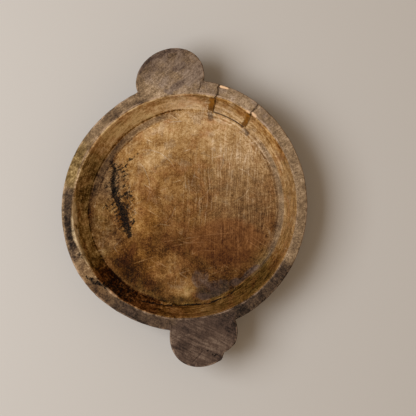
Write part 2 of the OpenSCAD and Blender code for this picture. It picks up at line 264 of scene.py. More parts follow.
def section(deg):
    """One section of the bowl for each row of angles. deg is (stations, ROWS), so that every point
    may have its own angle; each stretch of rows is one of the curves above."""
    d = [deg[:, a:b] for a, b in zip(ENDS, ENDS[1:])]
    sole = polar(SOLE_R * SOLE_STEPS, d[0], 0.0)

    j, g = BELLY_PARTS * BELLY_STEPS, grown(d[1])
    lip_z = BOWL_H - mix(RIM_FACE_H, LUG_EDGE_T, g)
    lip = edge(d[1]) + inward(d[1]) * (RIM_EDGE_R * g)[..., None] + up_only(lip_z)
    to_floor, to_rim = FOOT_S * j / FLOOR_PART, mix(FOOT_S, 1, (j - FLOOR_PART) / FLOOR_PART)
    to_root = ROOT_S * np.minimum(j, ROOT_PART) / ROOT_PART
    to_lip = (j - ROOT_PART) / (BELLY_PARTS - ROOT_PART)
    under = mix(belly(d[1], to_root), lip, np.clip(to_lip, 0, 1)[..., None])
    outside = mix(belly(d[1], np.where(j < FLOOR_PART, to_floor, to_rim)), under, g[..., None])

    s, g = LIP_STEPS, grown(d[2])
    low_z = BOWL_H - mix(RIM_FACE_H, LUG_EDGE_T, g) + RIM_EDGE_R
    low_a = np.clip(s / LIP_ROUND, 0, 1) * np.pi / 2 - np.pi / 2
    top_a = np.clip((s - (LIP_ROUND + LIP_FLAT)) / LIP_ROUND, 0, 1) * np.pi / 2
    inset = RIM_EDGE_R * (g * (1 - np.cos(low_a)) + 1 - np.cos(top_a))
    z = mix(low_z, BOWL_H - RIM_EDGE_R, np.clip((s - LIP_ROUND) / LIP_FLAT, 0, 1))
    z = z + RIM_EDGE_R * (np.sin(low_a) + np.sin(top_a))
    lip_side = edge(d[2]) + inward(d[2]) * inset[..., None] + up_only(z)

    outer = edge(d[3]) + inward(d[3]) * RIM_EDGE_R + up_only(BOWL_H)
    inner = polar(mouth_r(d[3]) + MOUTH_EDGE_W, d[3], BOWL_H)
    rim_top = mix(outer, inner, RIM_STEPS[:, None])

    def wall_ends(d):
        """The wall's mouth and foot, and the ends of its straight part between their bends."""
        mouth, foot = polar(mouth_r(d), d, BOWL_H), polar(foot_r(d), d, FLOOR_EDGE_Z)
        slope = np.linalg.norm(mouth - foot, axis=-1, keepdims=True)
        low = mix(foot, mouth, FOOT_FILLET_W / slope)
        return mouth, mix(mouth, foot, MOUTH_EDGE_W / slope), low, foot

    mouth, wall_top, _, _ = wall_ends(d[4])
    inner = polar(mouth_r(d[4]) + MOUTH_EDGE_W, d[4], BOWL_H)
    mouth_bend = corner(inner, mouth, wall_top, MOUTH_STEPS)

    _, wall_top, wall_foot, _ = wall_ends(d[5])
    bow = WALL_BOW * 4 * WALL_STEPS * (1 - WALL_STEPS)
    wall = mix(wall_top, wall_foot, WALL_STEPS[:, None]) + polar(bow, d[5], 0.0)

    _, _, wall_foot, foot = wall_ends(d[6])
    inner = floor_at(d[6], foot_r(d[6]) - FOOT_FILLET_W)
    fillet = corner(wall_foot, foot, inner, FILLET_STEPS)

    base = floor_at(d[7], (foot_r(d[7]) - FOOT_FILLET_W) * (1 - FLOOR_STEPS))
    return np.concatenate([sole, outside, lip_side, rim_top, mouth_bend, wall, fillet, base], 1)


def across(deg):
    """Radius at each point of the sections, and its share of the way from the wall's foot to the
    rim's edge."""
    r = np.linalg.norm(section(deg)[..., :2], axis=-1)
    return r, (r - foot_r(deg)) / (rim_r(deg) - foot_r(deg))


def wander(crack, share):
    """Sideways shift in mm of a crack's middle: straight lines through its table of shares, and a
    small ripple."""
    clock, _, table = crack
    ripple = CRACK_RIPPLE * np.sin(share * RIPPLE_PITCH + clock)
    return CRACK_WANDER * line_share(table, share) + ripple


def stations(degs, side):
    """Rows of angles for stations at degs, bent beside the two cracks: pushed by the crack's own
    wander plus half its width, fading to nothing CRACK_PULL away along the rim. side is +1 on the
    bowl and -1 on the broken piece, which lie on opposite sides of each crack."""
    deg = np.repeat(np.asarray(degs, float)[:, None], ROWS, axis=1)
    r, share = across(deg)
    shift = 0.0
    for crack, to in ((WIDE, side), (NARROW, -side)):
        clock, half, _ = crack
        fading = np.clip(1 - arc_from(clock, deg, r) / CRACK_PULL, 0, 1)
        shift = shift + (wander(crack, share) + to * half) * fading
    return deg + shift / np.maximum(r, 20) * 180 / np.pi


def normals(deg):
    """Unit normals of the sections: the step to the next angle crossed with the step to the next
    row."""
    along = section(deg + 0.05) - section(deg - 0.05)
    down = np.gradient(section(deg), axis=1)
    n = np.cross(along, down)
    return n / np.maximum(np.linalg.norm(n, axis=-1, keepdims=True), 1e-9)


# Marks, placed by pixels
CUT_LIMIT = 4.5  # mm that all tool marks and wear may cut at one point
WALL_MIDDLE_R = 190  # mm, where angles are turned into lengths round the bowl
FLOOR_TOP_PX, FLOOR_TALL_PX = 110, 195
RING_SHADE, DARK_FLOOR, FLOOR_RANGE = 0.72, 0.28, 0.48  # shades before the patches
CHECK_REACH_PX, SCRATCH_REACH_PX = 5.0, 4.0
MOUTH_WAY, LIP_WAY, FOOT_CUT_WAY, GROOVE_CUT_WAY = 4.25, 2.9, 6.62, 7.022


class Marks:
    """What lies where on the carved surface. Each mark is worked out for all points at once, from
    the pixel where a point is seen, its way along the section and its clock angle there."""

    def __init__(self, p, way):
        self.p = p
        self.way = np.broadcast_to(way, p.shape[:-1])
        self.x, self.y = seen(p)
        self.fine, self.coarse = lumps(p, 5.5, 3), lumps(p, 9, 5)
        self.wx = self.x + 1.6 * lumps(p, 17, 1) + 0.7 * self.fine
        self.wy = self.y + 1.6 * lumps(p, 17, 2) + 0.7 * lumps(p, 5.5, 4)
        self.turn = np.degrees(np.arctan2(MIDDLE_Y - self.y, self.x - MIDDLE_X)) % 360
        self.open_top = step(self.way, 2.55, 2.9)
        self.floor = step(self.way, 6.4, 7.02)
        self.rim = step(self.way, 2.3, 2.7) * step(self.way, 4.75, 4.35)
        self.wall = step(self.way, 4.35, 4.75) * step(self.way, 7.02, 6.4)

    def spot(self, x, y, rx, ry, turn=0.0, fade=0.5):
        """An ellipse with soft ragged edges, turned anticlockwise by degrees."""
        a = math.radians(turn)
        u, v = self.wx - x, self.wy - y
        along = u * math.cos(a) - v * math.sin(a)
        over = u * math.sin(a) + v * math.cos(a)
        return step(np.hypot(along / rx, over / ry), 1 + fade, 1 - fade)

    def floor_spot(self, *place):
        return self.floor * self.spot(*place)

    def rim_spot(self, *place):
        return self.rim * self.spot(*place)

    def band(self, turn0, turn1, way0, way1, fade=8.0, way_fade=0.25, wobble=0.12):
        """A stretch of the ring between two clock angles and two ways along the section, whose
        sides wander by `wobble`. Both fades are centred on its ends."""
        t = (self.turn - turn0) % 360
        span = (turn1 - turn0) % 360
        t = np.where(t > 180 + span / 2, t - 360, t)
        w = self.way + wobble * lumps(self.p, 14, 7)
        return step(t, -fade, fade) * step(t, span + fade, span - fade) \
            * step(w, way0 - way_fade, way0 + way_fade) * step(w, way1 + way_fade, way1 - way_fade)

    def ring(self, turn0, turn1, way0, way1, fade=8.0, way_fade=0.02):
        """A band with firm, even sides."""
        return self.band(turn0, turn1, way0, way1, fade, way_fade, 0.012)

    def near(self, points):
        """Signed distance in pixels to a line through points, and the share of the line's length
        at its nearest place."""
        pts = np.asarray(points, float)
        lengths = np.hypot(*np.diff(pts, axis=0).T)
        starts = np.concatenate([[0], np.cumsum(lengths)])
        best = np.full(self.x.shape, np.inf)
        signed, share = np.zeros(self.x.shape), np.zeros(self.x.shape)
        for (ax, ay), (bx, by), length, start in zip(pts[:-1], pts[1:], lengths, starts):
            ux, uy = (bx - ax) / length, (by - ay) / length
            t = np.clip((self.x - ax) * ux + (self.y - ay) * uy, 0, length)
            dx, dy = self.x - ax - t * ux, self.y - ay - t * uy
            d = np.hypot(dx, dy)
            closer = d < best
            best = np.where(closer, d, best)
            signed = np.where(closer, np.copysign(d, ux * dy - uy * dx), signed)
            share = np.where(closer, (start + t) / starts[-1], share)
        return signed, share

    def line(self, points, half, fade, thin=()):
        """A stroke along a line, `half` wide on each side, fading out over `fade` pixels. thin
        lists shares of its width, from its start to its end."""
        d, share = self.near(points)
        half = half * (np.interp(share, np.linspace(0, 1, len(thin)), thin) if thin else 1.0)
        return step(np.abs(d + 0.5 * self.fine) + 0.5 * half * self.coarse, half + fade, half)

    def nearest(self, lines, reach_px):
        """Signed distance in pixels to the nearest of several lines, and a strength that fades
        before the signs of two lines meet and towards each line's ends."""
        side, strength = np.zeros(self.x.shape), np.zeros(self.x.shape)
        for points in lines:
            d, share = self.near(points)
            s = step(np.abs(d), reach_px, reach_px * 0.6) * step(share, 0, 0.12) \
                * step(share, 1, 0.86)
            side = np.where(s > strength, d, side)
            strength = np.maximum(s, strength)
        return side, strength

    def parts(self, key):
        """Every mark that PAINT lists for a mask, times its strength."""
        return [strength * getattr(self, kind)(*place)
                for kind, rows in PAINT[key].items() for strength, *place in rows]


# Lines drawn through pixels of the photograph, and shares of their widths from start to end.
GOUGE = [(111.5, 163), (115, 170), (113.5, 178), (113, 186), (114.5, 194), (117, 201), (121, 208),
         (124.5, 216), (126, 225), (130, 236)]
GOUGE_W = [0.3, 0.9, 0.9, 1.6, 1.3, 2.0, 3.4, 4.0, 2.2, 0.7]
GOUGE_BRANCHES = [  # how black each is, and its points
    (0.95, [(117, 200), (124, 195.5), (132, 190.5)]),
    (0.55, [(125, 166), (131, 159.5), (137.5, 153)]),
    (0.5, [(120, 170), (126, 163), (131, 157)]), (0.62, [(104.5, 203), (106.4, 205.3), (108, 208)]),
    (0.8, [(122, 210), (128, 205), (134, 199)]), (0.62, [(113, 192), (119, 184), (124, 180)]),
    (0.62, [(117, 206), (112, 202), (108, 199)]),
]
FOOT_SPLIT = [(139, 299.5), (156, 303), (174.6, 305.3), (187, 303.9), (196.9, 303.4), (209, 302.5),
              (216.4, 299), (229.4, 294.4), (234, 289)]
WORN_STRIP = [(74.2, 204), (74.2, 214), (74.9, 228), (77.2, 240), (81.8, 252), (88, 264)]
WORN_STRIP_W = [0.3, 0.8, 1.3, 0.8, 0.4, 0.15]
LUG_CHECKS = [
    [(204, 349.5), (198.5, 356), (191.5, 363.5)], [(204, 349.5), (212, 352), (222, 357)],
    [(201.5, 80), (200.2, 87), (197.4, 95)], [(204, 349.5), (196, 347), (189, 343)],
]
SCRATCHES = [
    [(155, 243), (185, 238.5), (212, 234.5), (242, 232)],
    [(198.4, 271.5), (204, 278), (210.3, 283.7)], [(211.5, 276.8), (218, 280.3)],
    [(255, 112.3), (260.6, 106)], [(183.6, 320), (192, 324), (199.6, 328)],
    [(168, 247), (188, 243), (206, 242)], [(118, 254), (114, 247), (123, 237)],
    [(140, 150), (151, 150), (161, 153.5), (170, 161), (176, 170)],
    [(137, 160), (144, 168), (149, 180), (150, 192), (146, 204)],
    [(211, 186), (206, 194), (199, 201), (196, 212)], [(224, 152), (223, 164), (219, 173)],
    [(176, 205), (172, 216), (163, 226)], [(232, 203), (244, 196), (252, 184)],
    [(150, 228), (160, 224), (172, 226)], [(190, 255), (202, 250), (216, 251)],
    [(158, 118), (170, 122), (184, 121)], [(238, 168), (247, 172), (254, 180)],
    [(128, 198), (134, 206), (136, 216)], [(160, 345), (178, 337), (196, 333)],
    [(187, 60), (178, 70), (171, 83)], [(150, 82), (160, 74), (172, 69)],
]


def crack_away(p):
    """Distance in mm along the rim to the nearer crack."""
    deg = np.degrees(np.arctan2(p[..., 1], p[..., 0]))
    r = np.linalg.norm(p[..., :2], axis=-1)
    return np.minimum(arc_from(WIDE_DEG, deg, r), arc_from(NARROW_DEG, deg, r))


def dents(p, *layers):
    """Depth in mm of shallow hollows: layers of noise, each with its depth, size and seed."""
    return sum(depth * (1 + lumps(p, size, seed)) for depth, size, seed in layers)


def carve(m):
    """Depth in mm cut from the smooth surface at each point: shallow facets left by the tool on
    every face, then chips, pits, the rotten furrow, the splits and the checks."""
    p, way, top = m.p, m.way, m.open_top
    turn = np.arctan2(p[..., 1], p[..., 0])
    round_bowl = np.stack([turn * WALL_MIDDLE_R, np.hypot(p[..., 0], p[..., 1]), p[..., 2]], -1)
    depth = m.rim * dents(p, (0.45, 34, 11), (0.22, 11, 12), (0.12, 4.5, 13))
    depth += m.wall * (dents(round_bowl, (0.45, (24, 9, 9), 14)) + dents(p, (0.15, 6, 15)))
    depth += m.floor * dents(p, (0.5, 42, 16), (0.2, 13, 17))
    outside = step(way, 2.6, 2.2) * step(way, 0.97, 1.1)
    depth += outside * (dents(round_bowl, (0.9, (20, 20, 34), 18)) + dents(p, (0.25, 7, 19)))
    lip = step(way, 2.5, 2.8) * step(way, 3.25, 3.0)
    lip_nicks = 1.6 * step(lumps(p, 9, 20), 0.35, 0.85) + 0.5 * step(lumps(p, 23, 21), 0.0, 0.8)
    depth += lip * lip_nicks
    mouth = step(way, 3.8, 4.3) * step(way, 5.1, 4.7)
    depth += mouth * (1.2 * step(lumps(p, 16, 22), 0.1, 0.9) + dents(p, (0.35, 6, 23)))
    depth += m.floor * 2.2 * m.line(GOUGE, 0.9, 2.2, GOUGE_W) * (0.7 + 0.3 * lumps(p, 5, 24))
    for _, branch in GOUGE_BRANCHES:
        depth += m.floor * 0.6 * m.line(branch, 0.5, 1.6)
    deep = 1 - 0.6 * m.band(310, 10, 4, 8, 12) - 0.75 * m.band(44, 90, 4, 8, 6)
    depth += step(np.abs(way - FOOT_CUT_WAY), 0.5, 0.1) * (0.6 + 0.2 * lumps(p, 30, 25)) * deep
    groove = step(np.abs(way - GROOVE_CUT_WAY), 0.02, 0.006)
    depth += 0.5 * groove * m.band(305, 80, 4, 8, 12)
    depth += 1.8 * m.line(FOOT_SPLIT, 0.35, 1.3) * top
    side, strength = m.nearest(LUG_CHECKS, CHECK_REACH_PX)
    depth += 0.6 * strength * step(np.abs(side), 1.4, 0.2) * m.rim
    depth += m.spot(98, 282, 13, 6, -30) * top * 1.8 * step(lumps(p, 6, 26), 0.05, 0.5)
    depth += 2.0 * m.line([(221.6, 85.9), (227.0, 87.3)], 1.8, 1.6) * top
    depth += 1.8 * top * m.line(WORN_STRIP, 2.2, 2.4, WORN_STRIP_W)
    depth += top * step(way, 6.9, 6.3) * 0.9 * np.exp(-(crack_away(p) / 2.6) ** 2)
    return np.clip(depth, 0, CUT_LIMIT)


# What the masks are painted with, by kind of mark. Each row starts with its strength. Then come
# for a spot its middle and half sizes in pixels, its turn and its fade; for a band or a ring its
# two clock angles, two ways along the section and the fades of its ends and of its sides; and for
# a line its points, half width, fade and shares of width. The rows were set one by one, guided by
# the measured differences between the photograph and renders.
PAINT = {
    "floor": {
        "spot": [
            (0.09, 235, 148, 34, 30), (0.19, 155, 157, 17, 8, 20), (0.08, 190, 126, 45, 10),
            (0.08, 140, 180, 14, 22, 10), (0.17, 142, 218, 12, 19, 10), (0.05, 186, 215, 40, 26),
            (0.07, 99, 220, 8, 26), (0.17, 111, 248, 8, 9), (-0.05, 119, 250, 6, 5),
            (-0.11, 127, 266, 12, 14, -30), (0.26, 168, 268, 20, 13, 10),
            (-0.11, 140, 271, 14, 10, -20), (0.24, 180, 288, 19, 9, 5), (-0.05, 234, 248, 26, 14),
            (-0.05, 252, 197, 20, 26), (-0.11, 222, 287, 32, 12, 12), (-0.1, 192, 169, 32, 17),
            (-0.09, 150, 200, 9, 12), (-0.06, 166, 239, 14, 10), (-0.09, 126, 186, 9, 12),
            (0.04, 122, 153, 12, 8, 40), (0.03, 108, 236, 6, 14, -20), (0.04, 246, 262, 12, 10),
            (-0.12, 160, 300, 14, 4), (-0.07, 134, 170, 10, 12), (-0.06, 198, 268, 9, 8),
            (-0.04, 125, 262, 8, 5), (0.06, 100, 256, 5, 9, -30), (0.08, 201, 250, 10, 6),
            (0.08, 138, 258, 7, 6), (0.12, 188, 292, 9, 6), (0.06, 174, 270, 8, 7),
            (0.05, 206, 281, 7, 6), (0.08, 162, 134, 38, 6), (-0.06, 188, 178, 14, 8),
            (0.12, 133, 229, 7, 10), (0.1, 251, 241, 11, 9), (0.06, 187, 288, 14, 8),
            (-0.04, 216, 287, 24, 9, 8), (-0.09, 158, 284, 12, 6), (0.07, 206, 278, 8, 6),
            (0.15, 193, 295, 7, 4), (0.07, 213, 285, 10, 6), (-0.07, 156, 255, 10, 5),
            (0.05, 156, 167, 10, 6), (0.09, 130, 177, 6, 6), (-0.09, 131, 207, 5, 9),
            (0.08, 254, 250, 9, 8), (0.09, 208, 122, 8, 5), (-0.08, 118, 232, 6, 7)],
        "ring": [
            (-0.17, 98, 178, 6.9, 7.058, 10, 0.012), (0.14, 318, 350, 6.2, 7.045),
            (0.06, 350, 40, 6.2, 7.03), (0.25, 196, 228, 6.6, 7.05, 8, 0.03),
            (0.08, 60, 100, 7.0, 7.06), (0.12, 222, 262, 6.9, 7.03),
            # painted shade: the floor darker along the left wall's foot, in the valley under the
            # wall
            (-0.1, 150, 214, 6.4, 7.012, 8, 0.01)],
        "band": [(0.03, 104, 165, 7.08, 7.2, 10, 0.04)]},
    "wall": {
        "band": [
            (0.14, 88, 152, 4.4, 6.8, 12), (0.15, 20, 125, 5.45, 6.5),
            (-0.06, 22, 82, 4.75, 5.35, 5), (-0.12, 330, 18, 4.5, 6.5),
            (-0.34, 258, 334, 4.5, 6.6), (-0.46, 214, 256, 4.7, 6.8), (-0.1, 155, 214, 5.2, 6.6),
            (0.12, 76, 96, 5.5, 6.5, 6), (0.02, 54, 72, 5.4, 6.6, 4), (0.1, 104, 150, 4.4, 6.6),
            (-0.07, 8, 34, 4.4, 6.6), (-0.05, 50, 72, 4.4, 5.5, 6),
            (0.05, 350, 18, 5.85, 6.9, 8, 0.08), (-0.14, 306, 324, 4.7, 6.6, 6),
            (0.12, 174, 200, 5.4, 6.5, 8, 0.2), (0.1, 108, 140, 4.4, 6.0),
            (0.08, 90, 112, 4.3, 4.8, 6, 0.15), (0.12, 84, 100, 5.2, 6.5, 5, 0.2),
            (-0.02, 56, 76, 4.9, 5.7, 5, 0.2), (0.08, 50, 94, 5.9, 6.7, 6, 0.2),
            (-0.1, 144, 168, 5.6, 6.6, 8, 0.2), (-0.1, 168, 200, 4.7, 5.4, 8, 0.2),
            (0.14, 148, 186, 4.2, 5.1, 8, 0.2), (-0.06, 292, 308, 4.9, 6.4, 6),
            (-0.08, 334, 350, 5.6, 6.9, 5, 0.2), (0.05, 270, 288, 4.6, 5.8),
            (0.12, 234, 250, 5.0, 6.0, 5, 0.3), (0.14, 54, 154, 4.3, 4.75, 10, 0.15),
            (-0.08, 236, 300, 6.0, 6.8, 6, 0.2)]},
    "rim": {
        "band": [
            (-0.12, 80, 112, 2.4, 3.35), (-0.1, 92, 108, 2.4, 3.5, 6), (0.19, 92, 107, 3.4, 4.4),
            (-0.12, 104, 122, 2.4, 4.4, 5), (-0.08, 122, 136, 2.4, 4.2, 5),
            (-0.12, 148, 168, 2.4, 4.5), (-0.08, 188, 210, 2.4, 3.2, 6, 0.12),
            (-0.5, 173, 203, 3.15, 4.2, 9, 0.15), (-0.24, 200, 213, 3.2, 4.3, 5, 0.15),
            (-0.06, 132, 150, 2.4, 3.4, 6), (-0.14, 288, 307, 2.4, 4.6, 4),
            (-0.22, 214, 230, 2.4, 4.4), (-0.12, 231, 250, 2.4, 3.4, 5, 0.2),
            (-0.08, 226, 250, 2.4, 4.5, 6), (-0.12, 216, 228, 2.4, 3.5, 4, 0.2),
            (-0.36, 234, 262, 2.4, 4.5, 5), (-0.4, 264, 308, 2.4, 4.6),
            (-0.46, 308, 331.5, 2.4, 4.4, 3), (-0.06, 336, 20, 2.4, 4.4),
            (0.03, 55, 78, 2.4, 4.4), (-0.06, 32, 50, 3.3, 4.5), (-0.05, 74, 100, 3.3, 4.5),
            (0.06, 52, 70, 3.4, 4.4, 6)],
        "spot": [
            (0.24, 222, 342, 12, 12), (-0.12, 110, 117, 11, 5, 35), (-0.12, 136, 105, 7, 3, 30),
            (0.07, 200, 345, 10, 7), (0.12, 207, 355, 12, 6), (0.09, 202, 348, 9, 6),
            # The row at (160, 89.5) is painted shade along the top lug's root, where it meets the
            # rim.
            (0.07, 190, 357, 9, 5), (-0.1, 160, 89.5, 9, 3, 15), (-0.08, 73.5, 251, 4, 7),
            (-0.14, 167, 79, 14, 12), (0.1, 150, 76, 8, 9), (0.09, 165, 63, 8, 5),
            (-0.08, 214, 94, 3, 4), (-0.16, 104, 296, 13, 6, -35)]},
    "lug_edge": {
        "line": [(1.0, [(136.5, 74), (142, 65), (149, 58), (158, 53.5), (167, 51.5), (176, 49),
                        (184, 48)], 2.6, 1.3, [0.3, 0.9, 1.2, 1.5, 1.0, 0.5, 0.2])]},
    "smudges_and_lug_root_shade": {
        "line": [(1.0, [(172, 89.5), (178, 85), (185, 80.5)], 1.5, 1.8, [0.7, 1.2, 0.5]),
                 # This line is painted shade along the top lug's root; the others are dark patches
                 # on the rim.
                 (0.8, [(165, 91), (171.5, 93.5)], 0.8, 1.2),
                 (0.55, [(176, 69), (182, 65)], 2.0, 2.2),
                 (0.4, [(216, 330), (228, 334)], 2.0, 3.0)],
        "spot": [(1.4, 181.5, 346.5, 8, 5, 15, 0.4)]},
    "dry": {
        "ring": [(0.66, 98, 176, 6.9, 7.058, 10, 0.012), (0.85, 318, 44, 5.95, 7.03, 10, 0.06)],
        "band": [(0.3, 150, 184, 4.5, 7.0), (0.18, 342, 22, 4.6, 6.5),
                 (0.4, 92, 112, 4.3, 4.8, 6, 0.15)],
        "floor_spot": [(0.3, 245, 192, 40, 55), (0.55, 106, 180, 16, 20),
                       (0.2, 112, 240, 9, 10)]},
    "amber": {
        "band": [(0.35, 250, 330, 4.8, 6.6)],
        "floor_spot": [(0.2, 225, 190, 45, 40)]},
    "honey": {
        "band": [(0.35, 128, 156, 2.4, 4.4), (0.9, 66.5, 74, 4.55, 5.25, 2),
                 (0.8, 55, 62, 4.6, 5.5, 2.5), (0.7, 28, 51, 4.6, 5.45, 4),
                 (0.2, 352, 12, 5.0, 5.6), (0.4, 102, 166, 7.07, 7.22, 10, 0.05),
                 (0.65, 100, 152, 4.5, 6.6, 10), (0.7, 184, 214, 5.2, 6.7),
                 (0.35, 240, 275, 4.7, 6.7)],
        "floor_spot": [(0.55, 143, 218, 15, 24, 10), (0.55, 134, 262, 26, 20),
                       (0.2, 150, 178, 26, 20)]},
    "honey_shade": {
        "band": [(0.02, 66.5, 74, 4.55, 5.25, 2), (0.016, 55, 62, 4.6, 5.5, 2.5),
                 (0.005, 28, 51, 4.6, 5.45, 4)]},
    "olive": {
        "band": [(0.9, 152, 218, 4.8, 6.6), (0.75, 144, 172, 2.4, 4.4), (0.4, 300, 330, 4.8, 6.4),
                 (0.45, 100, 158, 4.6, 6.6), (0.5, 205, 300, 6.3, 7.1, 8, 0.1)],
        "floor_spot": [(0.22, 102, 225, 16, 36, -5), (0.5, 259, 255, 11, 14)]},
    "red": {
        "band": [(1.3, 216, 256, 4.6, 6.8)],
        "floor_spot": [(0.8, 230, 244, 34, 22), (0.35, 200, 238, 50, 18),
                       (0.7, 132, 250, 4, 8, -20)]},
    "purple_floor": {
        "floor_spot": [(0.64, 214, 290, 22, 10, 8, 0.25), (0.64, 240, 284, 20, 8, 24, 0.3),
                       (0.64, 253, 272, 12, 5, 28, 0.3), (0.64, 201, 279, 9, 11, -35, 0.3)]},
    "purple_rim": {
        "band": [(0.3, 236, 330, 2.4, 4.6)],
        "rim_spot": [(0.85, 205, 346, 40, 30), (0.6, 176, 66, 40, 30),
                     (0.4, 245, 104, 48, 24, -35)]},
    "pits": {
        "line": [(1.0, [(88, 277), (93, 281), (98, 283), (104, 285.5), (109, 288)], 1.2, 2.4,
                  [0.5, 1.2, 0.9, 1.5, 0.8])],
        "spot": [(0.9, 110, 284.5, 8, 3.2, -25, 0.3)]},
    "charred": {
        "line": [(1.0, GOUGE, 0.7, 3.2, GOUGE_W), (0.42, GOUGE[1:9], 2.0, 7.5, GOUGE_W[1:9])]
        + [(strength, branch, 0.25, 1.2) for strength, branch in GOUGE_BRANCHES],
        "spot": [(0.34, 122, 172, 9, 12, 20), (0.36, 127, 194, 6, 13, 15),
                 (0.22, 104, 204, 6, 9, 10)]},
    "dark": {
        "line": [(0.9, FOOT_SPLIT, 0.28, 0.75, [0.2, 0.6, 1.0, 1.2, 1.0, 1.3, 0.8, 0.3]),
                 (0.95, [(207.5, 351), (214, 354.4), (221.5, 356.4)], 0.45, 0.6, [0.3, 1.0, 1.3])],
        "band": [(0.5, 224, 242, 4.9, 6.4, 6)],
        "spot": [(0.42, 80, 255, 5, 4)]},
    # How strong the mouth's pale edge is round the bowl: wear, and also a painted highlight,
    # stronger on the right where the lamp falls on the edge and weaker on the left.
    "mouth_wear_and_highlight": {
        "band": [(0.45, 92, 162, 3, 6), (0.25, 300, 84, 3, 6, 10), (0.45, 256, 300, 3, 6),
                 (-0.25, 308, 334, 3, 6), (-0.5, 172, 204, 3, 6, 6), (-0.4, 204, 226, 3, 6, 6),
                 (0.35, 48, 84, 3, 6, 4)]},
    # foot: the dark line round the wall's foot. It is a cut line and partly painted shade in the
    # crease: strong on the left and top, weak on the right where the lamp lights the crease.
    "foot": {
        "band": [(0.86, 42, 236, 4, 8, 12), (-0.8, 40, 92, 4, 8, 6), (-0.18, 168, 240, 4, 8, 6)]},
    "groove": {
        "band": [(0.4, 305, 30, 4, 8, 12), (0.75, 24, 80, 4, 8), (0.2, 226, 252, 4, 8, 6)]},
    "chip": {
        "line": [(1.0, [(221.6, 86.0), (224.2, 86.3), (226.8, 87.4)], 1.9, 1.0, [1.0, 1.3, 0.9]),
                 (0.8, [(247, 111.3), (248.6, 112.6)], 0.6, 0.8),
                 (0.75, [(252.6, 113.2), (255.4, 116.8)], 0.8, 1.2, [0.8, 1.3, 0.9]),
                 (0.35, [(107.5, 288.4), (112, 292.5), (117, 296)], 0.7, 1.0, [0.8, 1.3, 0.5])]},
    "leak": {
        "line": [(1.0, [(209.5, 111), (211, 118)], 2.2, 2.6, [0.7, 1.0]),
                 (1.0, [(245.5, 126.5), (247, 133.5)], 1.6, 2.4, [1.0, 0.7])]},
    "mottled": {
        "band": [(1.0, 150, 262, 4.3, 6.9, 14), (0.5, 88, 160, 4.3, 6.9, 14),
                 (0.32, 26, 92, 4.3, 6.9), (0.3, 150, 215, 2.4, 4.4, 10)],
        "floor_spot": [(0.25, 105, 215, 24, 50)]},
}


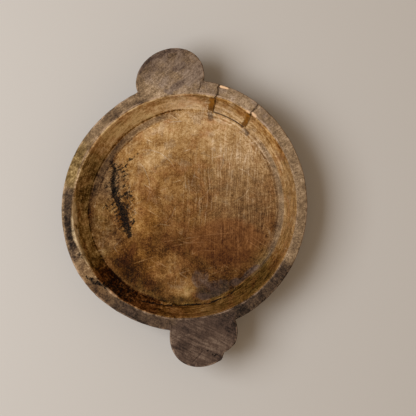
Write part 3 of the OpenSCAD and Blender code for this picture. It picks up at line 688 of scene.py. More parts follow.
def paint(m):
    """Masks that the wood's material reads at each point. shade is how pale the wood is, dry how
    grey and unoiled, and the others are stains, edges pale from wear, lines and scratches. The dark
    line at the wall's foot is partly painted shade, a thin line at the top lug's root is painted
    shade, and the mouth's pale edge is partly a painted highlight."""
    p, way, top = m.p, m.way, m.open_top

    # shade: the floor is pale at the picture's top, brown in its middle and dark below
    high = 1 - np.clip((m.y - FLOOR_TOP_PX) / FLOOR_TALL_PX, 0, 1)
    floor = DARK_FLOOR + FLOOR_RANGE * step(high, 0.12, 0.95) + sum(m.parts("floor"))
    wall = RING_SHADE + sum(m.parts("wall"))
    lug_edge = m.rim * most(m.parts("lug_edge"))
    # dark patches on the rim, and a thin line of painted shade at the top lug's root
    smudges_and_lug_root_shade = m.rim * most(m.parts("smudges_and_lug_root_shade"))
    rim = RING_SHADE + sum(m.parts("rim")) - 0.09 * lug_edge - 0.13 * smudges_and_lug_root_shade
    under = 0.40 + 0.16 * lumps(p, 60, 31) + 0.08 * lumps(p, 20, 32) + 0.16 * step(way, 1.06, 0.96)
    shade = mix(under, m.rim * rim + m.wall * wall + m.floor * floor, top)
    flaked = step(m.fine + 0.4 * m.coarse, -0.85, 0.0)
    bare = m.line(WORN_STRIP, 2.3, 2.0, WORN_STRIP_W) * top * flaked
    tan = top * m.spot(85, 264, 7, 17, 25, 0.4) * step(way, 4.9, 4.4)
    shade = mix(shade, 1.0 + 0.14 * m.fine, 0.95 * bare)
    shade = mix(shade, 0.68 + 0.05 * m.coarse, 0.9 * tan * (1 - bare))
    shade = shade - most(m.parts("honey_shade"))

    # oil, dryness and stains
    dry = m.rim * 0.92 - 0.3 * m.band(208, 230, 2.4, 4.4) + step(way, 2.7, 2.3) * 0.8
    dry = most([np.clip(dry, 0, 1), 0.9 * bare, 1.3 * lug_edge] + m.parts("dry"))
    honey = most(m.parts("honey"))
    amber = np.clip((m.wall * 0.55 + sum(m.parts("amber"))) * step(way, 4.3, 4.8), 0, 1)
    purple = most(m.parts("purple_floor")) + sum(m.parts("purple_rim"))
    pits = 0.78 * most(m.parts("pits"))
    black = most([m.floor * most(m.parts("charred")), top * most([pits] + m.parts("dark"))])

    # edges pale from wear (the mouth's partly a painted highlight), the lines round the floor, and
    # where each kind of grain shows
    sharp = 0.55 + sum(m.parts("mouth_wear_and_highlight"))
    worn = np.maximum(sharp * step(np.abs(way - MOUTH_WAY), 0.24, 0.06),
                      0.6 * step(np.abs(way - LIP_WAY), 0.16, 0.04))
    # the dark line at the wall's foot: a cut line, and partly painted shade in the crease between
    # wall and floor, strongest on the left
    foot = (0.14 + sum(m.parts("foot"))) * (0.92 + 0.08 * lumps(p, 26, 34))
    check_side, check = m.nearest(LUG_CHECKS, CHECK_REACH_PX)
    scratch_side, scratch = m.nearest(SCRATCHES, SCRATCH_REACH_PX)
    falling = m.rim * np.maximum(m.spot(204, 344, 36, 30), 0.6 * m.band(236, 290, 2.4, 4.5, 10))
    slant = m.rim * np.maximum(m.band(80, 215, 2.4, 4.5, 10), 0.3) * (1 - falling) \
        + 0.6 * m.floor_spot(104, 222, 18, 40) + m.wall * m.band(92, 222, 4, 7, 10)
    around = m.wall + 0.7 * m.band(320, 70, 6.9, 7.2, 12, 0.1) \
        + 0.5 * m.band(100, 200, 6.9, 7.15, 12, 0.1) + 0.5 * (1 - top)
    shares = dict(
        dry=dry, amber=amber * (1 - honey), honey=honey, olive=sum(m.parts("olive")),
        red=sum(m.parts("red")), purple=purple + 0.9 * lug_edge + 0.9 * smudges_and_lug_root_shade, black=black,
        worn=worn * (0.65 + 0.35 * lumps(p, 21, 33)) * (1 - 0.5 * black), foot=foot * top,
        groove=most(m.parts("groove")) * top, second=m.band(110, 170, 4, 8, 10) * top,
        check=check * top, scratch=scratch * top, chip=sum(m.parts("chip")) * top, bare=bare,
        crack=step(crack_away(p), 2.4, 0.6) * top * step(way, 7.1, 6.8),
        leak=sum(m.parts("leak")) * m.floor,
        streak=m.floor * np.maximum(m.spot(226, 192, 46, 54), 0.22),
        arcs=m.floor * np.maximum(m.spot(140, 175, 46, 50), 0.4 * m.spot(190, 130, 60, 24)),
        rays=m.rim * np.maximum(m.band(290, 50, 2.4, 4.5, 10), 0.25),
        slant=slant, falling=falling, around=around,
        mottled=most(m.parts("mottled") + [0.35 * (1 - top)]))
    return dict({key: np.clip(value, 0, 1) for key, value in shares.items()}, shade=shade,
                way=way, check_side=check_side, scratch_side=scratch_side)


# Meshes
HIDDEN_SHADE = 0.55  # of the broken wood between the cracks
STATION_GAP, POCKET_GAP = 0.62, 0.8  # degrees between stations
LUG_STATIONS, SEGMENT_STATIONS = 84, 65
BUNCHED = 0.35  # how much closer the broken piece's stations stand towards the cracks, 0 to 1
CRACK_STEPS = np.array([0, 0.25, 0.6, 1.0, 1.5, 2.1])  # degrees from a crack
CRISP_ANGLE = 48.0  # edges sharper than this stay crisp


def make_piece(name, points, faces, masks):
    """A mesh object at the origin from points in mm, with float attributes for its masks."""
    mesh = bpy.data.meshes.new(name)
    mesh.from_pydata((points * MM).tolist(), [], faces)
    mesh.polygons.foreach_set("use_smooth", np.ones(len(faces), bool))
    for key, values in masks.items():
        layer = mesh.attributes.new(key, "FLOAT", "POINT")
        layer.data.foreach_set("value", np.ascontiguousarray(values, np.float32))
    mesh.update()
    mesh.set_sharp_from_angle(angle=math.radians(CRISP_ANGLE))
    obj = bpy.data.objects.new(name, mesh)
    bpy.context.scene.collection.objects.link(obj)
    return obj


def strip(*corners):
    """Quads from four equal arrays of vertex numbers."""
    return np.stack([c.ravel() for c in corners], -1).tolist()


def carved(degs, side):
    """Sections at degs with their carving: points and masks."""
    deg = stations(degs, side)
    smooth = section(deg)
    m = Marks(smooth, WAY[None, :])
    cut = smooth - normals(deg) * carve(m)[..., None]
    cut[..., 2] = np.clip(cut[..., 2], 0.0, BOWL_H)
    return cut, paint(m)


def break_line(p, lift):
    """The same sections cut down to the break: each point goes to the point of the level line,
    from the fillet's inner end to the outside, that lies below it."""
    r = np.linalg.norm(p[..., :2], axis=-1)
    out_r, in_r = r[:, BREAK_ROW:BREAK_ROW + 1], r[:, FOOT_ROW:FOOT_ROW + 1]
    t = np.clip((r - in_r) / (out_r - in_r), 0, 1)[..., None]
    line = mix(p[:, FOOT_ROW:FOOT_ROW + 1], p[:, BREAK_ROW:BREAK_ROW + 1], t)
    return line + up_only(lift)


def even(a, b, gap=STATION_GAP):
    return np.linspace(a, b, max(2, int(math.ceil((b - a) / gap))) + 1)


def round_lug(clock):
    """Angles over a lug, closer together towards its two ends."""
    return clock - LUG_HALF * np.cos(np.pi * np.arange(LUG_STATIONS + 1) / LUG_STATIONS)


def build_bowl():
    """The bowl: a closed ring of sections from the wide crack round to the narrow one, and across
    the open pocket between them, with a pole in the middle of the sole and of the floor."""
    last = NARROW_DEG + 360
    degs = np.unique(np.round(np.concatenate([
        WIDE_DEG + CRACK_STEPS, even(WIDE_DEG + CRACK_STEPS[-1], PLAIN_CLOCK - LUG_HALF),
        round_lug(PLAIN_CLOCK), even(PLAIN_CLOCK + LUG_HALF, CHIPPED_CLOCK - LUG_HALF),
        round_lug(CHIPPED_CLOCK), even(CHIPPED_CLOCK + LUG_HALF, last - CRACK_STEPS[-1]),
        last - CRACK_STEPS]), 6))
    whole, masks = carved(degs, 1)
    hidden, hidden_masks = carved(even(NARROW_DEG, WIDE_DEG, POCKET_GAP), 1)
    low = break_line(hidden, 0.0)
    keep = (np.arange(ROWS) <= BREAK_ROW) | (np.arange(ROWS) >= FOOT_ROW)
    low[:, keep] = hidden[:, keep]
    grid = np.concatenate([whole, low])
    n = len(grid)
    number = np.arange(n * ROWS).reshape(n, ROWS)
    after = np.roll(number, -1, axis=0)
    faces = strip(number[:, :-1], after[:, :-1], after[:, 1:], number[:, 1:])
    floor_pole, sole_pole = n * ROWS, n * ROWS + 1
    faces += strip(number[:, -1], after[:, -1], np.full(n, floor_pole))
    faces += strip(np.full(n, sole_pole), after[:, 0], number[:, 0])
    poles = [[0, 0, grid[:, -1, 2].mean()], [0, 0, 0]]
    flat_masks = {}
    for key in masks:
        values = np.concatenate([masks[key], hidden_masks[key]])
        flat_masks[key] = np.append(values, [values[:, -1].mean(), values[:, 0].mean()])
    points = np.concatenate([grid.reshape(-1, 3), poles])
    return make_piece("carved_bowl", points, faces, flat_masks)


def slab(upper, lower):
    """Points and faces of a closed slab between two equal grids numbered one after the other: its
    top, its bottom and four sides."""
    n, m = upper.shape[:2]
    top = np.arange(n * m).reshape(n, m)
    low = top + n * m
    faces = strip(top[:-1, :-1], top[1:, :-1], top[1:, 1:], top[:-1, 1:])
    faces += strip(low[:-1, :-1], low[:-1, 1:], low[1:, 1:], low[1:, :-1])
    faces += strip(top[0, :-1], top[0, 1:], low[0, 1:], low[0, :-1])
    faces += strip(top[-1, :-1], low[-1, :-1], low[-1, 1:], top[-1, 1:])
    faces += strip(top[:-1, 0], low[:-1, 0], low[1:, 0], top[1:, 0])
    faces += strip(top[:-1, -1], top[1:, -1], low[1:, -1], low[:-1, -1])
    return np.concatenate([upper.reshape(-1, 3), lower.reshape(-1, 3)]), faces


def build_segment():
    """The glued-back piece: its carved top between the cracks over the level break, with its
    stations closer together towards the cracks."""
    t = np.linspace(-1, 1, SEGMENT_STATIONS)
    bunched, plain = np.sin(t * np.pi / 2) * BUNCHED, t * (1 - BUNCHED)
    degs = mix(NARROW_DEG, WIDE_DEG, 0.5 + 0.5 * bunched + 0.5 * plain)
    full, masks = carved(degs, -1)
    rows = slice(BREAK_ROW, PIECE_EDGE_ROW + 1)
    low = break_line(full, BED_T)[:, rows]
    top = full[:, rows].copy()
    top[:, 0], top[:, -1] = low[:, 0], low[:, -1]
    points, faces = slab(top, low)
    both = {}
    for key, values in masks.items():
        shown = values[:, rows].ravel()
        both[key] = np.append(shown, np.full(shown.size, HIDDEN_SHADE if key == "shade" else 0.0))
    return make_piece("set_back_rim", points, faces, both)


def build_glue(name, crack, columns):
    """Glue in one crack. Each column is (mm from the crack's middle, thickness of the run there,
    whether it reaches down into the crack). The run swells and thins down the wall, and its
    surface is a little lumpy."""
    clock, half, _ = crack
    away, thick, deep = (np.array(values)[:, None] for values in zip(*columns))
    rows = slice(BREAK_ROW + 1, WALL_FOOT_ROW + 1)
    run_rows = np.arange(ROWS) >= WALL_TOP_ROW
    on_run = run_rows[:, None]
    deg = np.full((len(columns), ROWS), clock)
    r, share = across(deg)
    inside = np.sign(away) * np.minimum(np.abs(away), half - GLUE_GAP)
    ragged = 1 + 0.16 * np.sin(WAY * 9 + clock) + 0.10 * np.sin(WAY * 23 + 2 * clock)
    outer = away * np.where(np.abs(away) > half, np.clip(ragged, 0.75, 1.0), 1.0)
    spread = np.where(run_rows, outer, inside)
    at = deg + (wander(crack, share) + spread) / r * 180 / np.pi
    smooth, up = section(at), normals(at)
    swell = np.interp(WAY, [5, 5.2, 5.5, 5.8, 6], [0.25, 0.8, 1.0, 0.95, 0.7])
    run = GLUE_GAP + RUN_T * thick * swell * (1 + 0.25 * lumps(smooth, 5, 41))
    below = break_line(smooth, GLUE_GAP)
    fall = np.maximum(np.linalg.norm(below - smooth, axis=-1), 1e-6)
    sunk = mix(smooth, below, np.minimum(GLUE_SINK / fall, 0.8)[..., None])
    front = np.where(on_run, smooth + up * run[..., None], sunk)
    flat = np.where(on_run, smooth + up * GLUE_GAP, sunk)
    back = np.where(deep[..., None], below, flat)
    clean = run_rows * np.interp(WAY, [4.6, 4.9, 5.6, 6], [0.3, 1.0, 0.85, 0.35])
    masks = {"clean": np.broadcast_to(clean, r.shape),
             "thin": run_rows * np.clip(1.15 - 1.3 * thick, 0, 1)}
    points, faces = slab(front[:, rows], back[:, rows])
    masks = {key: np.tile(values[:, rows].ravel(), 2) for key, values in masks.items()}
    return make_piece(name, points, faces, masks)


# Node helpers
ZERO, IN_PLAN = (0.0, 0.0, 0.0), (1.0, 1.0, 0.0)


def tone(r, g, b):
    """A colour given as 0-255 screen values, made linear for the shader."""
    linear = (((c / 255 + 0.055) / 1.055) ** 2.4 if c > 10 else c / 3295 for c in (r, g, b))
    return (*linear, 1.0)


class Value:
    """The value of a socket, for sums: each sign adds one Math node to its tree."""

    def __init__(self, nodes, socket):
        self.nodes, self.socket = nodes, socket

    def __add__(self, other):
        return self.nodes.math("ADD", self, other)

    def __sub__(self, other):
        return self.nodes.math("SUBTRACT", self, other)

    def __rsub__(self, other):
        return self.nodes.math("SUBTRACT", other, self)

    def __mul__(self, other):
        return self.nodes.math("MULTIPLY", self, other)


class Nodes:
    """Short ways to put nodes into a tree. An input is a number, a colour or a Value. Scales of
    noise are in cells per metre."""

    def __init__(self, tree):
        self.tree = tree

    def node(self, kind, inputs, **settings):
        node = self.tree.nodes.new(kind)
        for key, value in settings.items():
            setattr(node, key, value)
        for key, value in inputs.items():
            if isinstance(value, Value):
                self.tree.links.new(value.socket, node.inputs[key])
            else:
                node.inputs[key].default_value = value
        return node

    def outputs(self, node):
        return {socket.name: Value(self, socket) for socket in node.outputs}

    def put(self, kind, inputs, output=0, **settings):
        """A new node, and the value of one of its outputs."""
        return Value(self, self.node(kind, inputs, **settings).outputs[output])

    def math(self, op, *values, clamp=False):
        inputs = dict(enumerate(values))
        return self.put("ShaderNodeMath", inputs, operation=op, use_clamp=clamp)

    def higher(self, a, b):
        return self.math("MAXIMUM", a, b)

    def held_sum(self, a, b):
        """a + b, held between 0 and 1."""
        return self.math("ADD", a, b, clamp=True)

    def vmath(self, op, *values, **named):
        """Vector maths. A length or a dot product is a number, and the rest are vectors."""
        output = "Value" if op in ("LENGTH", "DOT_PRODUCT") else "Vector"
        inputs = {**dict(enumerate(values)), **named}
        return self.put("ShaderNodeVectorMath", inputs, output, operation=op)

    def span(self, value, a, b, low=0.0, high=1.0, smooth=True):
        """value from a..b to low..high, held at both ends."""
        ends = {"Value": value, "From Min": a, "From Max": b, "To Min": low, "To Max": high}
        kind = "SMOOTHSTEP" if smooth else "LINEAR"
        return self.put("ShaderNodeMapRange", ends, "Result", interpolation_type=kind)

    def noise(self, vector, scale, detail=2.0, rough=0.55, warp=0.0):
        shape = {"Scale": scale, "Detail": detail, "Roughness": rough, "Distortion": warp}
        return self.put("ShaderNodeTexNoise", {"Vector": vector, **shape}, "Fac")

    def bent(self, vector, place, scale, detail, by):
        """vector moved up to about half of `by` by coloured noise at place."""
        shape = {"Vector": place, "Scale": scale, "Detail": detail}
        wave = self.put("ShaderNodeTexNoise", shape, "Color")
        wave = self.vmath("SUBTRACT", wave, (0.5, 0.5, 0.5))
        return self.vmath("ADD", vector, self.vmath("SCALE", wave, Scale=by))

    def turned(self, vector, angle):
        inputs = {"Vector": vector, "Angle": angle}
        return self.put("ShaderNodeVectorRotate", inputs, rotation_type="Z_AXIS")

    def xyz(self, x, y, z):
        return self.put("ShaderNodeCombineXYZ", {"X": x, "Y": y, "Z": z})

    def blend(self, factor, a, b):
        """Colour a, and colour b where factor is 1. The sockets of the colour mix are 0, 6, 7."""
        return self.put("ShaderNodeMix", {0: factor, 6: a, 7: b}, 2, data_type="RGBA",
                        blend_type="MIX", clamp_factor=True)

    def ramp(self, factor, *stops):
        """Colours along a factor: each stop is (place, colour)."""
        node = self.node("ShaderNodeValToRGB", {"Fac": factor})
        elements = node.color_ramp.elements
        while len(elements) < len(stops):
            elements.new(0.5)
        for element, (place, color) in zip(elements, stops):
            element.position = place
            element.color = color
        return Value(self, node.outputs["Color"])

    def attr(self, name):
        """A painted mask."""
        return self.put("ShaderNodeAttribute", {}, "Fac", attribute_name=name)

    def group(self, tree, **inputs):
        """A node group placed in the tree, as its outputs by name."""
        return self.outputs(self.node("ShaderNodeGroup", inputs, node_tree=tree))

    def ragged(self, key, noise, bite, soft):
        """A painted mask with its edge broken up by noise."""
        inputs = dict(Mask=self.attr(key), Noise=noise, Bite=bite, Soft=soft)
        return self.group(RAGGED_EDGE, **inputs)["Mask"]

    def close_group(self, kind="Float", **values):
        """Gives a group its outputs, all of one kind, and returns the group."""
        for key in values:
            self.tree.interface.new_socket(key, in_out="OUTPUT", socket_type="NodeSocket" + kind)
        self.node("NodeGroupOutput", values)
        return self.tree


def new_group(name, **inputs):
    """An empty shader node group, and its inputs by name, each given by its default: a number, or
    a tuple for a vector."""
    tree = bpy.data.node_groups.new(name, "ShaderNodeTree")
    for key, default in inputs.items():
        kind = "NodeSocketVector" if isinstance(default, tuple) else "NodeSocketFloat"
        socket = tree.interface.new_socket(key, in_out="INPUT", socket_type=kind)
        socket.default_value = default
    n = Nodes(tree)
    return n, n.outputs(n.node("NodeGroupInput", {}))


def streaks():
    """Straight fibres or marks: noise drawn out along one direction in plan, the thin bright
    threads where it peaks and the gaps where it dips."""
    n, i = new_group("straight_streaks", Vector=ZERO, Turn=0.0, Across=400.0, Along=30.0)
    bent = n.bent(n.turned(i["Vector"], i["Turn"]), i["Vector"], 14.0, 1.0, 0.012)
    size = n.xyz(i["Across"], i["Along"], i["Along"])
    value = n.noise(n.vmath("MULTIPLY", bent, size), 1.0, 3.0, 0.6)
    return n.close_group(Value=value, Threads=n.span(value, 0.57, 0.66),
                         Gaps=n.span(value, 0.43, 0.34))


def growth_rings():
    """Growth rings: noise read along the distance from a pith line, bent a little."""
    n, i = new_group("growth_rings", Vector=ZERO, Pith=ZERO, Stretch=IN_PLAN, Scale=160.0)
    bent = n.bent(i["Vector"], i["Vector"], 22.0, 2.0, 0.016)
    away = n.vmath("MULTIPLY", n.vmath("SUBTRACT", bent, i["Pith"]), i["Stretch"])
    line = n.xyz(n.vmath("LENGTH", away), 0.37, 0.11)
    return n.close_group(Value=n.noise(line, i["Scale"], 2.0, 0.6))


def marks_across_rim():
    """Marks across the rim: noise that changes round the bowl but hardly along a radius."""
    n, i = new_group("marks_across_rim", Vector=ZERO, Scale=60.0)
    flat = n.vmath("MULTIPLY", i["Vector"], IN_PLAN)
    turned = n.vmath("ADD", n.vmath("NORMALIZE", flat), n.vmath("SCALE", flat, Scale=0.55))
    return n.close_group(Value=n.noise(turned, i["Scale"], 3.0, 0.65))


def marks_round_bowl():
    """Marks that run round the bowl: noise that changes fast with the distance from the middle
    and with the height, and slowly with the clock angle."""
    n, i = new_group("marks_round_bowl", Vector=ZERO, Scale=420.0, Turns=6.0)
    flat = n.vmath("MULTIPLY", i["Vector"], IN_PLAN)
    clock = n.vmath("SCALE", n.vmath("NORMALIZE", flat), Scale=i["Turns"])
    clock = n.outputs(n.node("ShaderNodeSeparateXYZ", {"Vector": clock}))
    height = n.vmath("DOT_PRODUCT", i["Vector"], (0.0, 0.0, 0.8))
    across = (n.vmath("LENGTH", flat) + height) * i["Scale"]
    value = n.noise(n.xyz(across, clock["X"], clock["Y"]), 1.0, 3.0, 0.6)
    return n.close_group(Value=value, Threads=n.span(value, 0.58, 0.69))


def ragged_edge():
    """A soft mask with its edge broken up: noise is added where the mask is half way, and the sum
    is cut to a firmer edge."""
    n, i = new_group("ragged_edge", Mask=0.0, Noise=0.5, Bite=0.8, Soft=0.3)
    half_way = (1.0 - i["Mask"]) * i["Mask"] * 8.0
    total = i["Mask"] + (i["Noise"] - 0.5) * i["Bite"] * half_way
    cut = n.span(total, 0.5 - i["Soft"], i["Soft"] + 0.5)
    return n.close_group(Mask=cut * n.span(i["Mask"], 0.0, 0.12))


def pores_and_pits():
    """Open pores and small pits: short dark flecks of two sizes, and the surface they leave."""
    n, i = new_group("pores_and_pits", Vector=ZERO, Amount=0.5)
    fine = n.noise(n.vmath("MULTIPLY", i["Vector"], (1.0, 0.35, 1.0)), 900.0, 2.0, 0.5)
    coarse = n.noise(i["Vector"], 260.0, 3.0, 0.6)
    start = n.span(i["Amount"], 0.0, 1.0, 0.72, 0.56, smooth=False)
    pit = n.span(coarse, start + 0.03, start + 0.11)
    flecks = n.higher(n.span(fine, start, start + 0.08) * 0.6, pit)
    return n.close_group(Flecks=flecks, Height=1.0 - flecks)


def stray_scratches():
    """Sparse pale scratches in three directions, each kept only in patches."""
    n, i = new_group("stray_scratches", Vector=ZERO)
    scratches = []
    for angle, across, shift in ((0.35, 520.0, 0.0), (-0.9, 460.0, 3.1), (1.35, 600.0, 7.7)):
        moved = n.vmath("ADD", n.turned(i["Vector"], angle), (shift, shift, 0.0))
        value = n.noise(n.vmath("MULTIPLY", moved, (across, 16.0, 16.0)), 1.0, 1.0, 0.4)
        patch = n.span(n.noise(moved, 26.0, 1.0), 0.52, 0.66)
        scratches.append(n.span(value, 0.66, 0.74) * patch)
    first, second, third = scratches
    return n.close_group(Mask=n.higher(n.higher(first, second), third))


# Scales of the wood's tones: rows of (shade, red, green, blue). The last row of each, at 1.25, is
# the palest tone there is. They were set one by one, guided by the photograph's average colours in
# small areas.
TONES = {
    "Oiled": [(0, 22, 9, 2), (0.25, 74, 42, 10), (0.5, 122, 81, 37), (0.75, 162, 121, 70),
              (1, 200, 164, 115), (1.25, 232, 198, 150)],
    "Amber": [(0, 26, 12, 2), (0.25, 78, 53, 18), (0.5, 124, 89, 44), (0.75, 164, 126, 77),
              (1, 204, 168, 122), (1.25, 234, 202, 156)],
    "Honey": [(0, 34, 14, 1), (0.25, 82, 46, 8), (0.5, 132, 86, 30), (0.75, 182, 133, 72),
              (1, 212, 170, 112), (1.25, 236, 200, 144)],
    "Dry": [(0, 29, 23, 18), (0.25, 69, 54, 42), (0.5, 106, 85, 63), (0.75, 144, 118, 88),
            (1, 190, 161, 130), (1.25, 226, 200, 170)],
    "Olive": [(0, 26, 18, 5), (0.5, 106, 81, 34), (1, 180, 149, 90), (1.25, 222, 192, 130)],
    "Red": [(0, 28, 9, 3), (0.15, 52, 18, 5), (0.4, 99, 57, 24), (1, 170, 112, 62),
            (1.25, 200, 144, 92)],
    "Purple": [(0, 28, 22, 19), (0.4, 84, 65, 54), (1, 150, 129, 111), (1.25, 190, 168, 150)],
}
STAIN_SHARES = {"Amber": 1.0, "Honey": 1.0, "Dry": 1.0, "Olive": 0.75, "Red": 0.75, "Purple": 0.8}
CHAR_TONE = tone(11, 11, 12)


def old_wood_tones():
    """The wood's colour. Shade runs through an oiled scale of browns, the other scales are laid
    over it one by one, and char goes over them all."""
    inputs = ("Shade", *STAIN_SHARES, "Black")
    n, i = new_group("old_wood_tones", **dict.fromkeys(inputs, 0.0))
    shade = i["Shade"] * 0.8

    def scale(key):
        return n.ramp(shade, *((0.8 * place, tone(*rgb)) for place, *rgb in TONES[key]))

    color = scale("Oiled")
    for key, share in STAIN_SHARES.items():
        color = n.blend(i[key] * share, color, scale(key))
    return n.close_group("Color", Color=n.blend(i["Black"], color, CHAR_TONE))


STREAKS, GROWTH_RINGS = streaks(), growth_rings()
MARKS_ACROSS_RIM, MARKS_ROUND_BOWL = marks_across_rim(), marks_round_bowl()
RAGGED_EDGE, PORES_AND_PITS = ragged_edge(), pores_and_pits()
STRAY_SCRATCHES, OLD_WOOD_TONES = stray_scratches(), old_wood_tones()


# Materials
def new_material(name):
    """An empty node material, its Nodes, and where each point lies in its object."""
    mat = bpy.data.materials.new(name)
    mat.use_nodes = True
    mat.node_tree.nodes.clear()
    n = Nodes(mat.node_tree)
    return mat, n, n.put("ShaderNodeTexCoord", {}, "Object")


def shade_surface(n, height, distance, sockets, strength):
    """The shader with its bump and its other inputs, linked to the material's output."""
    bump = n.put("ShaderNodeBump", {"Height": height, "Strength": strength, "Distance": distance})
    shader = n.put("ShaderNodeBsdfPrincipled", {**sockets, "Normal": bump})
    n.node("ShaderNodeOutputMaterial", {"Surface": shader})


def wood_material(name, lift=0.0, seed=0.0):
    """Old carved hardwood. The painted masks give broad tones; fibres, rings, marks across the
    rim, pores, scratches and checks break them up and give the bump. lift makes it paler, and
    seed moves its noise."""
    mat, n, where = new_material(name)
    if seed:
        move = {"Vector": where, "Location": (seed, seed * 0.7, 0.0)}
        where = n.put("ShaderNodeMapping", move)
    attr, span = n.attr, n.span
    dry, streak, honey = attr("dry"), attr("streak"), attr("honey")
    mottle = n.noise(where, 55.0, 4.0, 0.62)
    speck = n.noise(where, 290.0, 2.0, 0.6)
    grit = n.noise(where, 620.0, 2.0, 0.6)
    patch = n.noise(where, 17.0, 3.0, 0.55, 0.4)
    hue = n.noise(where, 75.0, 4.0, 0.65, 0.3)
    char = n.noise(where, 230.0, 4.0, 0.7)
    blot = n.noise(where, 110.0, 3.0, 0.6, 0.6)
    warm = n.noise(n.vmath("ADD", where, (0.7, 0.2, 0.4)), 32.0, 5.0, 0.62, 0.3)
    pale = n.noise(n.vmath("ADD", where, (0.1, 0.9, 0.3)), 44.0, 5.0, 0.68, 0.5)
    fibre = n.group(STREAKS, Vector=where, Turn=0.12, Across=480.0, Along=17.0)
    slant = n.group(STREAKS, Vector=where, Turn=0.95, Across=330.0, Along=34.0)["Value"]
    falling = n.group(STREAKS, Vector=where, Turn=2.15, Across=260.0, Along=22.0)["Value"]
    feather = n.group(STREAKS, Vector=where, Turn=0.85, Across=300.0, Along=75.0)["Value"]
    rings = n.group(GROWTH_RINGS, Vector=where, Pith=(-0.012, 0.02, 0.0), Stretch=(1.0, 0.8, 0.0),
                    Scale=120.0)["Value"]
    rays = n.group(MARKS_ACROSS_RIM, Vector=where, Scale=125.0)["Value"]
    wide_rays = n.group(MARKS_ACROSS_RIM, Vector=where, Scale=95.0)["Value"]
    around = n.group(MARKS_ROUND_BOWL, Vector=where, Scale=430.0, Turns=6.0)
    broad = n.group(MARKS_ROUND_BOWL, Vector=where, Scale=130.0, Turns=4.0)["Value"]
    openness = span(dry, 0.0, 1.0, 0.42, 0.75, smooth=False)
    pores = n.group(PORES_AND_PITS, Vector=where, Amount=openness)
    strays = n.group(STRAY_SCRATCHES, Vector=where)["Mask"]

    def crisp(value, amount, width=0.13):
        """Noise with its middle stretched, from -amount/2 to amount/2."""
        return (span(value, 0.5 - width, 0.5 + width) - 0.5) * amount

    def drawn_line(side, strength, half):
        """A drawn line: full where its signed distance is under half, fading over the same."""
        near = span(n.math("ABSOLUTE", attr(side)), half, half * 2.2, 1.0, 0.0)
        return near * attr(strength)

    def ring_line(place, half, stray, key, end=2.4):
        """A line round the bowl at one way along the section, straying a little."""
        off = n.math("ABSOLUTE", attr("way") - place + crisp(mottle, stray, 0.2))
        return span(off, half, half * end, 1.0, 0.0) * attr(key)

    # shade: the painted one with every kind of grain on it, each under its own mask
    total = attr("shade") + lift
    wall_mottle = crisp(speck, 0.16) + crisp(mottle, 0.26, 0.2) \
        + (crisp(blot, 0.2, 0.16) + crisp(wide_rays, 0.2))
    total += wall_mottle * attr("mottled")
    coarse = span(dry, 0.0, 0.6, 0.95, 1.0) * span(attr("falling"), 0.0, 1.0, 1.0, 0.6) \
        * span(attr("red"), 0.0, 0.8, 1.0, 0.7)
    for plain in (crisp(mottle, 0.13, 0.2), crisp(patch, 0.12, 0.2), crisp(fibre["Value"], 0.04)):
        total += plain
    for grain, mask in (
            (crisp(blot, 0.12, 0.2), coarse), (crisp(speck, 0.14), coarse),
            (crisp(grit, 0.21), coarse), (crisp(fibre["Value"], 0.065), streak),
            (crisp(slant, 0.14), attr("slant")), (crisp(falling, 0.20), attr("falling")),
            (crisp(rings, 0.10), attr("arcs")), (crisp(rays, 0.17), attr("rays")),
            (crisp(around["Value"], 0.20), attr("around")), (crisp(broad, 0.12), attr("around"))):
        total += grain * mask
    threads = fibre["Threads"] * streak * span(hue, 0.32, 0.5)
    drawn = drawn_line("scratch_side", "scratch", 0.24)
    # pale edges of the mouth and lip from wear; on the mouth they are partly a painted highlight
    worn = n.ragged("worn", mottle, 1.3, 0.3)
    check = drawn_line("check_side", "check", 0.3) * span(grit, 0.35, 0.55)
    inner_dark = n.higher(ring_line(7.024, 0.0035, 0.006, "groove"),
                          ring_line(7.066, 0.004, 0.012, "second"))
    inner_pale = n.higher(ring_line(7.004, 0.005, 0.006, "groove"),
                          ring_line(7.040, 0.003, 0.006, "groove") * 0.6)
    black = n.ragged("black", char * 0.5 + feather * 0.5, 3.2, 0.3)
    black = black * span(speck, 0.35, 0.6, 0.76, 1.0)
    # the foot line (-0.46) is partly painted shade in the crease at the wall's foot
    for mark, amount in (
            (threads, 0.19), (fibre["Gaps"] * streak, -0.09),
            (strays, span(dry, 0.0, 1.0, 0.24, 0.14)), (pores["Flecks"], -0.22), (drawn, 0.14),
            (worn, 0.08), (ring_line(6.6, 0.10, 0.10, "foot", 3.0), -0.46), (inner_dark, -0.2),
            (inner_pale, 0.17), (around["Threads"] * attr("red"), 0.12),
            (n.ragged("leak", mottle, 0.8, 0.4), -0.24),
            (n.ragged("crack", grit, 0.8, 0.4), -0.30), (check, -0.26)):
        total += mark * amount

    # colour: where it is oiled, it has dull and ruddy clouds
    oiled = span(dry, 0.1, 0.5, 1.0, 0.0)
    dull = span(pale, 0.50, 0.66) * 0.5 + n.higher(drawn, n.higher(threads, strays)) * 0.7
    dull = dull * (span(total, 0.38, 0.6) * span(honey, 0.0, 1.0, 1.0, 0.3))
    grey = (attr("leak") + inner_pale * 0.5) * 0.8
    ruddy = span(warm, 0.48, 0.66) * 0.7 * oiled
    color = n.group(
        OLD_WOOD_TONES, Shade=total, Dry=n.held_sum(dry + grey, dull * oiled),
        Amber=n.held_sum(attr("amber"), crisp(hue, 0.5)),
        Honey=n.held_sum(honey, crisp(hue, 0.3) * span(honey, 0.0, 0.4)),
        Olive=n.ragged("olive", patch, 0.9, 0.42),
        Red=n.higher(n.ragged("red", patch, 0.9, 0.42), ruddy),
        Purple=n.ragged("purple", mottle, 0.8, 0.3), Black=black)["Color"]
    # pale tones laid over: edges pale from wear (on the mouth partly a painted highlight), bare
    # wood, chips
    for share, over in (
            (worn * 0.42, tone(194, 160, 132)),
            (attr("bare") * span(grit, 0.3, 0.65, 0.3, 1.0), tone(226, 200, 158)),
            (attr("chip") * span(grit, 0.15, 0.45, 0.6, 1.0), tone(238, 194, 150))):
        color = n.blend(share, color, over)

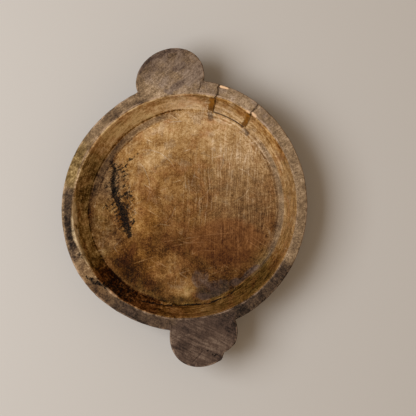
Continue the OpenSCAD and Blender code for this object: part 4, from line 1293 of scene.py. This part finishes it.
    height = fibre["Value"] * 0.35
    for extra, amount in (
            (pores["Height"], 0.5), (mottle, 0.5), (grit, 0.3), (rays * attr("rays"), 1.3),
            (slant * attr("slant"), 0.8), (falling * attr("falling"), 1.0), (check, -1.6),
            (inner_dark, -0.8), (drawn, -0.5), (black, span(grit, 0.3, 0.7, 0.0, -1.6))):
        height += extra * amount
    gloss = span(dry, 0.0, 1.0, 0.50, 0.78, smooth=False) + crisp(mottle, 0.12)
    shade_surface(n, height, 0.9 * MM, {
        "Base Color": color, "Roughness": n.held_sum(gloss, black * 0.2),
        "Specular IOR Level": 0.05}, strength=0.55)
    return mat


def glue_material(name):
    """Hardened amber glue: dark honey with darker lumps, glossy, a little dusty. Where its mask
    says it isn't clean, down in the cracks and in the bed, dirt has made it dark and matt."""
    mat, n, where = new_material(name)
    clouds, grit = n.noise(where, 120.0, 4.0, 0.6, 0.5), n.noise(where, 700.0, 2.0, 0.6)
    clean = n.attr("clean")
    amber = n.ramp(clouds, (0.3, tone(84, 46, 6)), (0.5, tone(136, 83, 10)),
                   (0.7, tone(162, 106, 26)))
    amber = n.blend(n.attr("thin"), amber, tone(150, 106, 46))
    dirty = n.ramp(clouds, (0.3, tone(60, 44, 28)), (0.7, tone(100, 74, 48)))
    color = n.blend(clean, dirty, amber)
    color = n.blend(n.span(grit, 0.64, 0.76), color, tone(96, 76, 52))
    rough = n.span(clean, 0.0, 1.0, 0.9, n.span(grit, 0.3, 0.8, 0.28, 0.6), smooth=False)
    shade_surface(n, clouds + grit * 0.3, 0.6 * MM, {
        "Base Color": color, "Roughness": rough, "Coat Weight": clean * 0.15,
        "Specular IOR Level": 0.12}, strength=0.4)
    return mat


# The object
old_wood = wood_material("old_wood")
segment_wood = wood_material("segment_wood", lift=0.02, seed=0.31)
amber_glue = glue_material("amber_glue")

bowl = build_bowl()
segment = build_segment()
glue_wide = build_glue("glue_in_wide_crack", WIDE, [
    (-0.99, 0.5, True), (1.0, 0.8, True), (1.05, 0.8, False), (3.0, 1.0, False),
    (5.0, 0.95, False), (7.2, 0.75, False), (9.2, 0.12, False)])
glue_narrow = build_glue("glue_in_narrow_crack", NARROW, [
    (-2.6, 0.1, False), (-0.7, 0.8, False), (-0.58, 0.8, True), (0.58, 0.9, True),
    (0.7, 0.9, False), (2.4, 1.0, False), (4.4, 0.85, False), (5.8, 0.5, False),
    (7.2, 0.1, False)])

for piece, node, slot, material in (
        (bowl, "bowl_body", "old_wood", old_wood),
        (segment, "rim_segment", "segment_wood", segment_wood),
        (glue_wide, "glue_left", "amber_glue", amber_glue),
        (glue_narrow, "glue_right", "amber_glue", amber_glue)):
    piece.data.materials.append(material)
    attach(piece, "root")
    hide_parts(node)

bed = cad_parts["glue_bed"]
bed.data.materials.clear()
bed.data.materials.append(amber_glue)

# Floor, light and camera
scene = bpy.context.scene
GROUND_HALF_M, SENSOR_MM, AIM_H_M = 6, 36.0, 0.04


def area_light(name, right_m, up_m, height_m, size_m, watts, color):
    """A square lamp placed right and up in the picture from the bowl's middle, facing a point
    inside it."""
    data = bpy.data.lights.new(name, "AREA")
    data.shape, data.size, data.energy, data.color = "SQUARE", size_m, watts, color
    lamp = bpy.data.objects.new(name, data)
    x, y = right_m * RIGHT + up_m * UP
    lamp.location = (x, y, height_m)
    to_bowl = Vector((-x, -y, AIM_H_M - height_m))
    lamp.rotation_euler = to_bowl.to_track_quat("-Z", "Y").to_euler()
    scene.collection.objects.link(lamp)


plaster = bpy.data.materials.new("pale_floor")
plaster.use_nodes = True
plaster_inputs = plaster.node_tree.nodes["Principled BSDF"].inputs
plaster_inputs["Base Color"].default_value = (0.55, 0.50, 0.44, 1.0)
plaster_inputs["Roughness"].default_value = 0.9
ground_mesh = bpy.data.meshes.new("ground")
ground_mesh.from_pydata([(x * GROUND_HALF_M, y * GROUND_HALF_M, 0) for x, y in (
    (-1, -1), (1, -1), (1, 1), (-1, 1))], [], [(0, 1, 2, 3)])
ground = bpy.data.objects.new("ground", ground_mesh)
ground_mesh.materials.append(plaster)
scene.collection.objects.link(ground)

area_light("window", -1.75, 0.05, 2.3, 1.9, 89.0, (0.82, 0.89, 0.985))
world = bpy.data.worlds.new("soft_room")
world.use_nodes = True
sky = world.node_tree.nodes["Background"].inputs
sky["Color"].default_value = (1.0, 0.80, 0.60, 1.0)
sky["Strength"].default_value = 0.385
scene.world = world
scene.view_settings.view_transform = "Standard"

camera_data = bpy.data.cameras.new("camera")
camera_data.sensor_width = SENSOR_MM
camera_data.lens = SENSOR_MM * EYE_H / (IMAGE_PX * PX_MM)
camera_data.clip_end = 20.0
camera = bpy.data.objects.new("camera", camera_data)
camera.location = (EYE[0] * MM, EYE[1] * MM, (EYE_H + BOWL_H) * MM)
camera.rotation_euler = (0.0, 0.0, ROLL)
scene.collection.objects.link(camera)
bpy.context.scene.camera = camera
